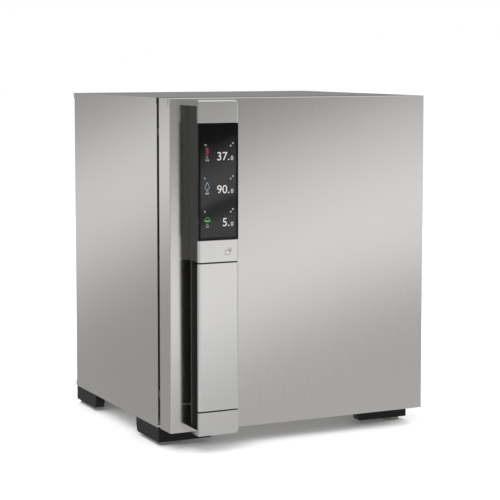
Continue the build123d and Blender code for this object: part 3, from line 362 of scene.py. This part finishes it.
def mouldedPlastic(name, colour, roughness, grain, depth, gloss=0.5, tone=0.08):
    material, tree, shader = newFinish(name)
    grains = pattern(tree, grain, detail=2.0)
    soft = pattern(tree, 12.0, detail=3.0)
    mixed = ramp(tree, soft, [(0.3, scaled(colour, 1.0 - tone)[:3]), (0.7, scaled(colour, 1.0 + tone)[:3])])
    feed(tree, shader.inputs["Base Color"], mixed)
    feed(tree, shader.inputs["Roughness"], remap(tree, grains, 0.3, 0.7, roughness * 0.9, roughness * 1.1))
    shader.inputs["Specular IOR Level"].default_value = gloss
    bump(tree, shader, grains, depth, 0.0003)
    return material


def clearGlass(name, colour, ior, roughness=0.0):
    material, tree, shader = newFinish(name)
    smears = pattern(tree, 9.0, detail=3.0)
    tint = ramp(tree, smears, [(0.3, scaled(colour, 0.985)[:3]), (0.7, colour)])
    feed(tree, shader.inputs["Base Color"], tint)
    feed(tree, shader.inputs["Roughness"], remap(tree, smears, 0.4, 0.7, roughness, roughness + 0.01))
    shader.inputs["Transmission Weight"].default_value = 1.0
    shader.inputs["IOR"].default_value = ior
    return material


finishes = {
    "cabinet_steel": brushedSteel(
        "satinCabinetSteel", (0.630, 0.618, 0.603), 0.135, 0.6, 60.0, (12.0, 12.0, 0.6),
        tone=0.012, depth=0.0),
    "inner_steel": brushedSteel(
        "innerSteel", (0.64, 0.63, 0.615), 0.22, 0.7, 60.0, (12.0, 12.0, 0.6), tone=0.03, depth=0.01),
    "chamber_steel": brushedSteel(
        "chamberSteel", (0.70, 0.69, 0.68), 0.17, 0.0, 9.0, (1.0, 1.0, 1.0), tone=0.01, depth=0.01),
    "hinge_steel": brushedSteel(
        "hingeSteel", (0.60, 0.59, 0.57), 0.28, 0.0, 300.0, (1.0, 1.0, 0.1), tone=0.05, depth=0.05),
    "sensor_steel": brushedSteel(
        "sensorSteel", (0.58, 0.57, 0.56), 0.25, 0.0, 400.0, (1.0, 1.0, 1.0), tone=0.04, depth=0.05),
    "zinc_screw": brushedSteel(
        "zincScrew", (0.62, 0.63, 0.64), 0.30, 0.0, 300.0, (1.0, 1.0, 1.0), tone=0.08, depth=0.08),
    "fan_aluminium": brushedSteel(
        "fanAluminium", (0.72, 0.72, 0.73), 0.34, 0.0, 200.0, (1.0, 1.0, 1.0), tone=0.05, depth=0.05),
    "supply_case": brushedSteel(
        "supplyCase", (0.55, 0.55, 0.56), 0.42, 0.0, 90.0, (1.0, 1.0, 1.0), tone=0.10, depth=0.05),
    "motor_case": brushedSteel(
        "motorCase", (0.30, 0.30, 0.31), 0.45, 0.0, 120.0, (1.0, 1.0, 1.0), tone=0.08, depth=0.05),
    "nipple_brass": brushedSteel(
        "nippleBrass", (0.72, 0.52, 0.25), 0.26, 0.0, 300.0, (1.0, 0.1, 1.0), tone=0.06, depth=0.05),
    "heater_foil": brushedSteel(
        "heaterFoil", (0.62, 0.42, 0.26), 0.40, 0.0, 60.0, (1.0, 1.0, 1.0), tone=0.12, depth=0.10),
    "silver_finish": brushedSteel(
        "silverFinish", (0.690, 0.682, 0.670), 0.15, 0.3, 900.0, (1.0, 1.0, 1.0), tone=0.05, depth=0.02),
    "dark_moulding": mouldedPlastic("darkMoulding", (0.026, 0.0255, 0.025), 0.42, 1500.0, 0.10, gloss=0.35),
    "black_frame": mouldedPlastic("blackFrame", (0.008, 0.008, 0.008), 0.30, 1500.0, 0.04),
    "foot_plastic": mouldedPlastic("footPlastic", (0.0045, 0.0045, 0.0045), 0.50, 1300.0, 0.10, gloss=0.25),
    "pad_rubber": mouldedPlastic("padRubber", (0.34, 0.32, 0.29), 0.55, 900.0, 0.15),
    "gasket_rubber": mouldedPlastic("gasketRubber", (0.020, 0.020, 0.021), 0.60, 700.0, 0.12),
    "silicone": mouldedPlastic("silicone", (0.56, 0.56, 0.54), 0.50, 600.0, 0.06, tone=0.04),
    "lock_plastic": mouldedPlastic("lockPlastic", (0.055, 0.054, 0.052), 0.40, 900.0, 0.06),
    "inlet_plastic": mouldedPlastic("inletPlastic", (0.015, 0.015, 0.015), 0.35, 1200.0, 0.08),
    "rocker_plastic": mouldedPlastic("rockerPlastic", (0.012, 0.012, 0.012), 0.22, 1200.0, 0.03),
    "filter_plastic": mouldedPlastic("filterPlastic", (0.74, 0.74, 0.70), 0.35, 500.0, 0.04, tone=0.03),
    "mineral_wool": mouldedPlastic("mineralWool", (0.62, 0.58, 0.44), 0.95, 220.0, 0.9, gloss=0.1, tone=0.25),
    "circuit_board": mouldedPlastic("circuitBoard", (0.015, 0.105, 0.045), 0.35, 240.0, 0.03, tone=0.3),
    "display_cover_glass": clearGlass("displayCoverGlass", (1.0, 1.0, 1.0), 1.30),
    "pane_glass": clearGlass("paneGlass", (0.93, 0.975, 0.955), 1.50),
    "hose_clear": clearGlass("hoseClear", (0.90, 0.93, 0.92), 1.40, roughness=0.12),
}


screenPaintedReflection = {
    "slant": 0.36,               # rise of the painted reflection bands over the screen's width
    "centre": -0.200,
    # brightness of the painted reflection by height in metres, along the slanting bands
    "reflectionLevels": ((0.400, 0.030), (0.446, 0.034), (0.460, 0.014), (0.478, 0.010), (0.492, 0.034), (0.530, 0.044),
               (0.560, 0.030), (0.592, 0.010), (0.602, 0.001)),
    "low": 0.38,
    "high": 0.64,
}


def screenWithPaintedReflection(settings):
    # the display panel: near black at its head, dark grey below with slanting bands of painted reflection,
    # given out as emission
    material, tree, shader = newFinish("screenWithPaintedReflection")
    place = addNode(tree, "ShaderNodeTexCoord").outputs["Object"]
    axes = addNode(tree, "ShaderNodeSeparateXYZ")
    feed(tree, axes.inputs[0], place)
    across = calculate(tree, "SUBTRACT", axes.outputs[0], settings["centre"])
    rise = calculate(tree, "MULTIPLY", across, settings["slant"])
    slanting = calculate(tree, "SUBTRACT", axes.outputs[2], rise)
    low, high = settings["low"], settings["high"]
    along = remap(tree, slanting, low, high, 0.0, 1.0)
    paintedReflectionGrey = ramp(tree, along, [((height - low) / (high - low), level) for height, level in settings["reflectionLevels"]])
    dots = pattern(tree, 4000.0, detail=0.0)
    paintedReflectionGrey = blendColours(tree, remap(tree, dots, 0.3, 0.7, 0.0, 0.08), paintedReflectionGrey, (0.0, 0.0, 0.0, 1.0))
    feed(tree, shader.inputs["Base Color"], (0.004, 0.004, 0.004, 1.0))
    # the emission paints the reflection bands onto the screen
    feed(tree, shader.inputs["Emission Color"], paintedReflectionGrey)
    shader.inputs["Emission Strength"].default_value = 1.0
    shader.inputs["Roughness"].default_value = 0.3
    return material


finishes["display_screen"] = screenWithPaintedReflection(screenPaintedReflection)

for part in frame["record"]["subparts"]:
    node = cadNodes[part["node"]]
    node.data.materials.clear()
    node.data.materials.append(finishes[part["material_slot"]])
print("finishes on", len(cadNodes), "nodes:", len(finishes))


# flat drawn marks: strokes and figures

def finishPiece(mesh, name, body, material):
    mesh.name = name
    mesh.materials.clear()
    mesh.materials.append(material)
    piece = bpy.data.objects.new(name, mesh)
    bpy.context.scene.collection.objects.link(piece)
    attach(piece, body)
    return piece


mitreLimit = 0.35
capitalShare = 0.73         # a capital's height as a share of the font size


def strokeRing(points, width, closed):
    # the two edges of a line of even width, mitred at its corners
    count = len(points)
    left, right = [], []
    for index, point in enumerate(points):
        before = points[index - 1] if closed or index else points[index]
        after = points[(index + 1) % count] if closed or index < count - 1 else points[index]
        first = (Vector(point) - Vector(before)).normalized() if before != point else None
        second = (Vector(after) - Vector(point)).normalized() if after != point else None
        first = first or second
        second = second or first
        across = Vector((-(first.y + second.y), first.x + second.x)).normalized()
        reach = width / 2 / max(mitreLimit, abs(across.dot(Vector((-first.y, first.x)))))
        left.append(Vector(point) + across * reach)
        right.append(Vector(point) - across * reach)
    return left, right


def addStroke(bm, points, width, depth, closed=False):
    left, right = strokeRing([tuple(point) for point in points], width, closed)
    rings = []
    for a, b in zip(left, right):
        section = ((a, 0), (b, 0), (b, depth), (a, depth))
        rings.append([bm.verts.new((point.x, point.y, level)) for point, level in section])
    count = len(rings)
    for index in range(count if closed else count - 1):
        here, there = rings[index], rings[(index + 1) % count]
        for k in range(4):
            bm.faces.new((here[k], here[(k + 1) % 4], there[(k + 1) % 4], there[k]))
    if not closed:
        bm.faces.new(rings[0][::-1])
        bm.faces.new(rings[-1])


def addPatch(bm, points, depth):
    lower = [bm.verts.new((x, y, 0.0)) for x, y in points]
    upper = [bm.verts.new((x, y, depth)) for x, y in points]
    bm.faces.new(lower[::-1])
    bm.faces.new(upper)
    count = len(points)
    for index in range(count):
        after = (index + 1) % count
        bm.faces.new((lower[index], lower[after], upper[after], upper[index]))


def addBar(bm, left, low, right, high, depth):
    addPatch(bm, [(left, low), (right, low), (right, high), (left, high)], depth)


def arcPoints(cx, cy, radius, fromAngle, toAngle, steps):
    turns = [radians(fromAngle + (toAngle - fromAngle) * k / steps) for k in range(steps + 1)]
    return [(cx + radius * cos(turn), cy + radius * sin(turn)) for turn in turns]


def roundRect(left, bottom, right, top, radius, steps=4):
    points = []
    corners = ((right - radius, top - radius, 0), (left + radius, top - radius, 90),
               (left + radius, bottom + radius, 180), (right - radius, bottom + radius, 270))
    for cx, cy, start in corners:
        points += arcPoints(cx, cy, radius, start, start + 90, steps)
    return points


def frontPlacement(x, y, z):
    # drawing plane to a face that looks along -Y, drawing units in millimetres
    return Matrix.Translation((x * millimetre, y * millimetre, z * millimetre)) @ Matrix.Rotation(
        radians(90), 4, "X") @ Matrix.Scale(millimetre, 4)


def meshFrom(bm, placement):
    bmesh.ops.recalc_face_normals(bm, faces=bm.faces)
    bm.transform(placement)
    mesh = bpy.data.meshes.new("drawn")
    bm.to_mesh(mesh)
    bm.free()
    return mesh


def textMesh(words, height, depth, align="LEFT"):
    # figures with their capital height in millimetres, standing on the drawing plane
    curve = bpy.data.curves.new("figures", "FONT")
    curve.body = words
    curve.align_x = align
    curve.size = height / capitalShare
    curve.extrude = depth / 2
    curve.resolution_u = 5
    holder = bpy.data.objects.new("figures", curve)
    bpy.context.scene.collection.objects.link(holder)
    mesh = bpy.data.meshes.new_from_object(holder.evaluated_get(bpy.context.evaluated_depsgraph_get()))
    bpy.data.objects.remove(holder)
    bpy.data.curves.remove(curve)
    return mesh


def glowing(name, colour, strength):
    material, tree, shader = newFinish(name)
    dots = pattern(tree, 3000.0, detail=0.0)
    level = remap(tree, dots, 0.3, 0.7, 0.96, 1.04)
    tint = addNode(tree, "ShaderNodeVectorMath", operation="SCALE")
    tint.inputs[0].default_value = colour
    feed(tree, tint.inputs["Scale"], level)
    feed(tree, shader.inputs["Emission Color"], tint.outputs[0])
    feed(tree, shader.inputs["Base Color"], (0.02, 0.02, 0.02, 1.0))
    shader.inputs["Emission Strength"].default_value = strength
    shader.inputs["Roughness"].default_value = 0.4
    return material


readouts = {
    "rows": (("37.", "0", "37.0"), ("90.", "0", "90.0"), ("5.", "0", "5.0")),
    "units": ("°C", "%", "%"),
    "firstBase": 563.5,         # height of the first row's base line
    "rowPitch": 62.6,
    "rightEdge": -168.6,
    "figureHeight": 16.4,
    "decimalHeight": 8.4,
    "decimalWidth": 7.4,
    "setHeight": 3.4,
    "setDrop": 1.0,
    "setBarHalf": 1.9,
    "setBarLow": 5.0,
    "setBarHigh": 5.7,
    "unitEdge": -229.5,
    "unitHeight": 3.6,
    "unitRise": 27.5,
    "arrowInset": 3.4,
    "arrowRise": 29.5,
    "arrowReach": 3.2,
    "arrowHead": 2.2,
    "arrowHeadLine": 0.7,
    "arrowStart": 0.8,
    "arrowEnd": 0.6,
    "arrowShaftLine": 0.6,
    "iconColumn": -223.0,
    "iconLine": 0.75,
    "depth": 0.12,
    "sink": 0.06,
    "white": (0.72, 0.715, 0.70),
    "red": (0.50, 0.030, 0.045),
    "blue": (0.26, 0.46, 0.56),
    "green": (0.045, 0.36, 0.12),
}
thermometerForm = {
    "shift": -0.6,
    "bulbRise": 10.6,
    "bulbRadius": 2.5,
    "stemRise": 22.6,
    "stemRadius": 1.45,
    "marks": 4,
    "firstMark": 15.2,
    "markPitch": 2.4,
    "markFrom": 2.0,
    "markTo": 3.6,
    "markWidth": 0.7,
}
dropForm = {"rise": 12.4, "radius": 4.4, "shoulder": (1.7, 18.6), "tipRise": 21.6}
cloudForm = {
    # each lobe's centre, radius, first and last angle, and steps
    "lobes": ((4.4, 12.2, 2.3, -90, 75, 7), (0.5, 14.2, 3.6, 20, 155, 9), (-4.2, 12.1, 2.2, 105, 270, 7)),
    "base": (-4.6, 9.6, 4.8, 12.6),
    "baseCorner": 1.0,
}


def appendMesh(bm, mesh, matrix):
    mesh.transform(matrix)
    bm.from_mesh(mesh)
    bpy.data.meshes.remove(mesh)


def addArrow(bm, x, y, sign, settings):
    # half of a slanting two-headed arrow: its head, then its shaft
    reach, head, depth = settings["arrowReach"], settings["arrowHead"], settings["depth"]
    tip = (x + sign * reach, y + sign * reach)
    corner = [(tip[0] - sign * head, tip[1]), tip, (tip[0], tip[1] - sign * head)]
    addStroke(bm, corner, settings["arrowHeadLine"], depth)
    start, end = sign * settings["arrowStart"], sign * settings["arrowEnd"]
    shaft = [(x + start, y + start), (tip[0] - end, tip[1] - end)]
    addStroke(bm, shaft, settings["arrowShaftLine"], depth)


def drawThermometer(bm, middle, base, form, line, depth):
    centre = middle + form["shift"]
    outline = arcPoints(centre, base + form["bulbRise"], form["bulbRadius"], 125, 415, 16)
    outline += arcPoints(centre, base + form["stemRise"], form["stemRadius"], 0, 180, 8)
    addStroke(bm, outline, line, depth, closed=True)
    for step in range(form["marks"]):
        low = base + form["firstMark"] + step * form["markPitch"]
        addBar(bm, middle + form["markFrom"], low, middle + form["markTo"], low + form["markWidth"], depth)


def drawDrop(bm, middle, base, form, line, depth):
    across, shoulder = form["shoulder"]
    outline = arcPoints(middle, base + form["rise"], form["radius"], 145, 395, 20)
    outline += [(middle + across, base + shoulder), (middle, base + form["tipRise"]),
                (middle - across, base + shoulder)]
    addStroke(bm, outline, line, depth, closed=True)


def drawCloud(bm, middle, base, form, line, depth):
    outline = []
    for x, y, radius, fromAngle, toAngle, steps in form["lobes"]:
        outline += arcPoints(middle + x, base + y, radius, fromAngle, toAngle, steps)
    addStroke(bm, outline, line, depth, closed=True)
    left, low, right, high = form["base"]
    foot = roundRect(middle + left, base + low, middle + right, base + high, form["baseCorner"])
    addPatch(bm, foot, depth)


def makeReadouts(settings):
    # figures, units and signs that float just inside the back of the display glass
    depth, line = settings["depth"], settings["iconLine"]
    middle, right = settings["iconColumn"], settings["rightEdge"]
    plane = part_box("display_glass")[1].y / millimetre - settings["sink"]
    white, icons = bmesh.new(), [bmesh.new() for _ in range(3)]
    bases = [settings["firstBase"] - row * settings["rowPitch"] for row in range(len(settings["rows"]))]
    for base, (whole, decimal, setPoint), unit in zip(bases, settings["rows"], settings["units"]):
        for words, height, x, low, align in (
            (decimal, settings["decimalHeight"], right, base, "RIGHT"),
            (whole, settings["figureHeight"], right - settings["decimalWidth"], base, "RIGHT"),
            (setPoint, settings["setHeight"], middle, base - settings["setDrop"], "CENTER"),
            (unit, settings["unitHeight"], settings["unitEdge"], base + settings["unitRise"], "LEFT"),
        ):
            place = Matrix.Translation((x, low, depth / 2))
            appendMesh(white, textMesh(words, height, depth, align), place)
        half = settings["setBarHalf"]
        barLow, barHigh = base + settings["setBarLow"], base + settings["setBarHigh"]
        addBar(white, middle - half, barLow, middle + half, barHigh, depth)
        for sign in (1, -1):
            addArrow(white, right - settings["arrowInset"], base + settings["arrowRise"], sign, settings)
    drawThermometer(icons[0], middle, bases[0], thermometerForm, line, depth)
    drawDrop(icons[1], middle, bases[1], dropForm, line, depth)
    drawCloud(icons[2], middle, bases[2], cloudForm, line, depth)
    placement = frontPlacement(0.0, plane, 0.0)
    ink = glowing("figureWhite", settings["white"], 1.0)
    finishPiece(meshFrom(white, placement), "readout_figures", "door", ink)
    signs = (("readout_warmth", "red"), ("readout_damp", "blue"), ("readout_gas", "green"))
    for (name, colour), bm in zip(signs, icons):
        ink = glowing(name, settings[colour], 1.0)
        finishPiece(meshFrom(bm, placement), name, "door", ink)


makeReadouts(readouts)
print("readouts drawn")


readerSign = {
    "centre": (-179.5, 390.0),
    "card": (-7.0, -6.4, 3.0, 2.6),
    "cardCorner": 1.6,
    "waveCentre": (-1.0, -1.2),
    "waveRadii": (3.2, 5.8, 8.4),
    "line": 0.9,
    "depth": 0.06,
    "colour": (0.16, 0.16, 0.155),
}


def makeReaderSign(settings):
    # a card with three waves, a plain sign for a contactless reader
    bm = bmesh.new()
    x, z = settings["centre"]
    left, low, right, high = settings["card"]
    line, depth = settings["line"], settings["depth"]
    card = roundRect(x + left, z + low, x + right, z + high, settings["cardCorner"])
    addStroke(bm, card, line, depth, closed=True)
    waveX, waveZ = settings["waveCentre"]
    for radius in settings["waveRadii"]:
        addStroke(bm, arcPoints(x + waveX, z + waveZ, radius, 5, 85, 10), line, depth)
    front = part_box("reader_cover")[0].y / millimetre
    ink = mouldedPlastic("signInk", settings["colour"], 0.5, 900.0, 0.02, tone=0.05)
    finishPiece(meshFrom(bm, frontPlacement(0.0, front, 0.0)), "reader_sign", "door", ink)


makeReaderSign(readerSign)
print("reader sign drawn")


# painted shadow: settings for the dark strips in the grip's two gaps
seamShadow = {
    "leftInset": 2.5,
    "rightInset": 1.3,
    "setback": 1.6,
    "thickness": 0.8,
    "margin": 0.3,
}


def makeSeamShadow(settings):
    # dark strips that paint the shadow in the two gaps of the grip, in front of the rod
    grip, reader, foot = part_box("grip_plate"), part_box("reader_cover"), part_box("bottom_cap")
    bm = bmesh.new()
    for low, high in ((grip[1].z, reader[0].z), (foot[1].z, grip[0].z)):
        low, high = low / millimetre + settings["margin"], high / millimetre - settings["margin"]
        left = grip[0].x / millimetre + settings["leftInset"]
        right = grip[1].x / millimetre - settings["rightInset"]
        addBar(bm, left, low, right, high, settings["thickness"])
    front = grip[0].y / millimetre + settings["setback"] + settings["thickness"]
    mesh = meshFrom(bm, frontPlacement(0.0, front, 0.0))
    finishPiece(mesh, "grip_seam_shadow", "door", finishes["black_frame"])


makeSeamShadow(seamShadow)
print("grip seams darkened")


doorTab = {
    "front": -247.0,
    "back": -213.0,
    "low": 664.5,
    "high": 678.0,
    "corner": 4.0,
    "thickness": 0.5,
}


def sidePlacement(x):
    # drawing plane to a face that looks along -X: drawing x runs from back to front
    turned = Matrix.Rotation(radians(-90), 4, "Z") @ Matrix.Rotation(radians(90), 4, "X")
    return Matrix.Translation((x * millimetre, 0.0, 0.0)) @ turned @ Matrix.Scale(millimetre, 4)


def makeDoorTab(settings):
    # the folded corner lug of the door skin, pressed flat on its left edge
    bm = bmesh.new()
    corner, high = settings["corner"], settings["high"]
    left, right = -settings["back"], -settings["front"]
    outline = ([(left, high), *arcPoints(left + corner, settings["low"] + corner, corner, 180, 270, 5),
                *arcPoints(right - corner, settings["low"] + corner, corner, 270, 360, 5), (right, high)])
    addPatch(bm, outline, settings["thickness"])
    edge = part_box("door_outer_skin")[0].x / millimetre
    mesh = meshFrom(bm, sidePlacement(edge))
    finishPiece(mesh, "door_corner_lug", "door", finishes["cabinet_steel"])


makeDoorTab(doorTab)
print("door lug drawn")


screwHead = {
    "radius": 2.3,
    "height": 1.2,
    "recessWidth": 0.7,
    "recessReach": 1.2,         # length of each slot of the cross, as a share of the head's radius
    "sides": 20,
}
# each row's body, its turn in degrees, and the node, corner and axis whose face it stands on
screwRows = {
    "door_panel_screws": {
        "body": "door", "tilt": (-90.0, 0.0, 0.0), "face": ("door_inner_panel", 1, "y"),
        "columns": (-241.0, 248.0), "rows": (75.0, 180.0, 285.0, 390.0, 495.0, 600.0, 648.0),
    },
    "frame_screws": {
        "body": "cabinet", "tilt": (90.0, 0.0, 0.0), "face": ("front_frame", 0, "y"),
        "columns": (-240.0, 245.0), "rows": (72.0, 215.0, 358.0, 501.0, 644.0),
    },
    "pan_screws": {
        "body": "cabinet", "tilt": (180.0, 0.0, 0.0), "face": ("base_pan", 0, "z"),
        "columns": (-140.0, 0.0, 140.0), "rows": (-170.0, 44.0, 258.0),
    },
}


def screwTree(settings):
    tree = bpy.data.node_groups.new("screwHeads", "GeometryNodeTree")
    sockets = (
        ("Places", "NodeSocketGeometry"), ("Head Radius", "NodeSocketFloat"),
        ("Head Height", "NodeSocketFloat"), ("Recess Width", "NodeSocketFloat"),
        ("Tilt", "NodeSocketRotation"), ("Finish", "NodeSocketMaterial"),
    )
    for label, kind in sockets:
        tree.interface.new_socket(label, in_out="INPUT", socket_type=kind)
    tree.interface.new_socket("Screws", in_out="OUTPUT", socket_type="NodeSocketGeometry")
    given = addNode(tree, "NodeGroupInput").outputs
    head = addNode(tree, "GeometryNodeMeshCylinder")
    feed(tree, head.inputs["Vertices"], settings["sides"])
    feed(tree, head.inputs["Radius"], given["Head Radius"])
    feed(tree, head.inputs["Depth"], given["Head Height"])
    bars = addNode(tree, "GeometryNodeJoinGeometry")
    reach = calculate(tree, "MULTIPLY", given["Head Radius"], settings["recessReach"])
    for first, second in ((reach, given["Recess Width"]), (given["Recess Width"], reach)):
        size = addNode(tree, "ShaderNodeCombineXYZ")
        for socket, value in zip(size.inputs, (first, second, given["Head Height"])):
            feed(tree, socket, value)
        bar = addNode(tree, "GeometryNodeMeshCube")
        feed(tree, bar.inputs["Size"], size.outputs[0])
        tree.links.new(bar.outputs[0], bars.inputs[0])
    rise = addNode(tree, "ShaderNodeCombineXYZ")
    feed(tree, rise.inputs[2], calculate(tree, "MULTIPLY", given["Head Height"], 0.5))
    lift = addNode(tree, "GeometryNodeTransform")
    feed(tree, lift.inputs["Geometry"], bars.outputs[0])
    feed(tree, lift.inputs["Translation"], rise.outputs[0])
    carve = addNode(tree, "GeometryNodeMeshBoolean", operation="DIFFERENCE")
    feed(tree, carve.inputs["Mesh 1"], head.outputs["Mesh"])
    feed(tree, carve.inputs["Mesh 2"], lift.outputs[0])
    seat = addNode(tree, "GeometryNodeTransform")
    feed(tree, seat.inputs["Geometry"], carve.outputs[0])
    feed(tree, seat.inputs["Translation"], rise.outputs[0])
    spread = addNode(tree, "GeometryNodeInstanceOnPoints")
    feed(tree, spread.inputs["Points"], given["Places"])
    feed(tree, spread.inputs["Instance"], seat.outputs[0])
    feed(tree, spread.inputs["Rotation"], given["Tilt"])
    real = addNode(tree, "GeometryNodeRealizeInstances")
    feed(tree, real.inputs[0], spread.outputs[0])
    painted = addNode(tree, "GeometryNodeSetMaterial")
    feed(tree, painted.inputs["Geometry"], real.outputs[0])
    feed(tree, painted.inputs["Material"], given["Finish"])
    feed(tree, addNode(tree, "NodeGroupOutput").inputs[0], painted.outputs[0])
    return tree


def grown(tree, points, values, name):
    # the mesh that a node tree makes on these points, as plain faces
    mesh = bpy.data.meshes.new(name)
    mesh.from_pydata(points, [], [])
    holder = bpy.data.objects.new(name, mesh)
    bpy.context.scene.collection.objects.link(holder)
    modifier = holder.modifiers.new("grow", "NODES")
    modifier.node_group = tree
    for item in tree.interface.items_tree:
        if item.in_out == "INPUT" and item.name in values:
            modifier[item.identifier] = values[item.name]
    made = bpy.data.meshes.new_from_object(holder.evaluated_get(bpy.context.evaluated_depsgraph_get()))
    holder.modifiers.clear()
    bpy.data.objects.remove(holder)
    bpy.data.meshes.remove(mesh)
    return made


def makeScrews(settings, head):
    tree = screwTree(head)
    for name, row in settings.items():
        node, corner, axis = row["face"]
        level = getattr(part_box(node)[corner], axis)
        points = []
        for column in row["columns"]:
            for step in row["rows"]:
                across, along = column * millimetre, step * millimetre
                points.append((across, level, along) if axis == "y" else (across, along, level))
        mesh = grown(tree, points, {
            "Head Radius": head["radius"] * millimetre,
            "Head Height": head["height"] * millimetre,
            "Recess Width": head["recessWidth"] * millimetre,
            "Tilt": [radians(angle) for angle in row["tilt"]],
            "Finish": finishes["zinc_screw"],
        }, name)
        finishPiece(mesh, name, row["body"], finishes["zinc_screw"])
        print(name, len(points), "screws", len(mesh.polygons), "faces")


makeScrews(screwRows, screwHead)


# the end

print("scene built")
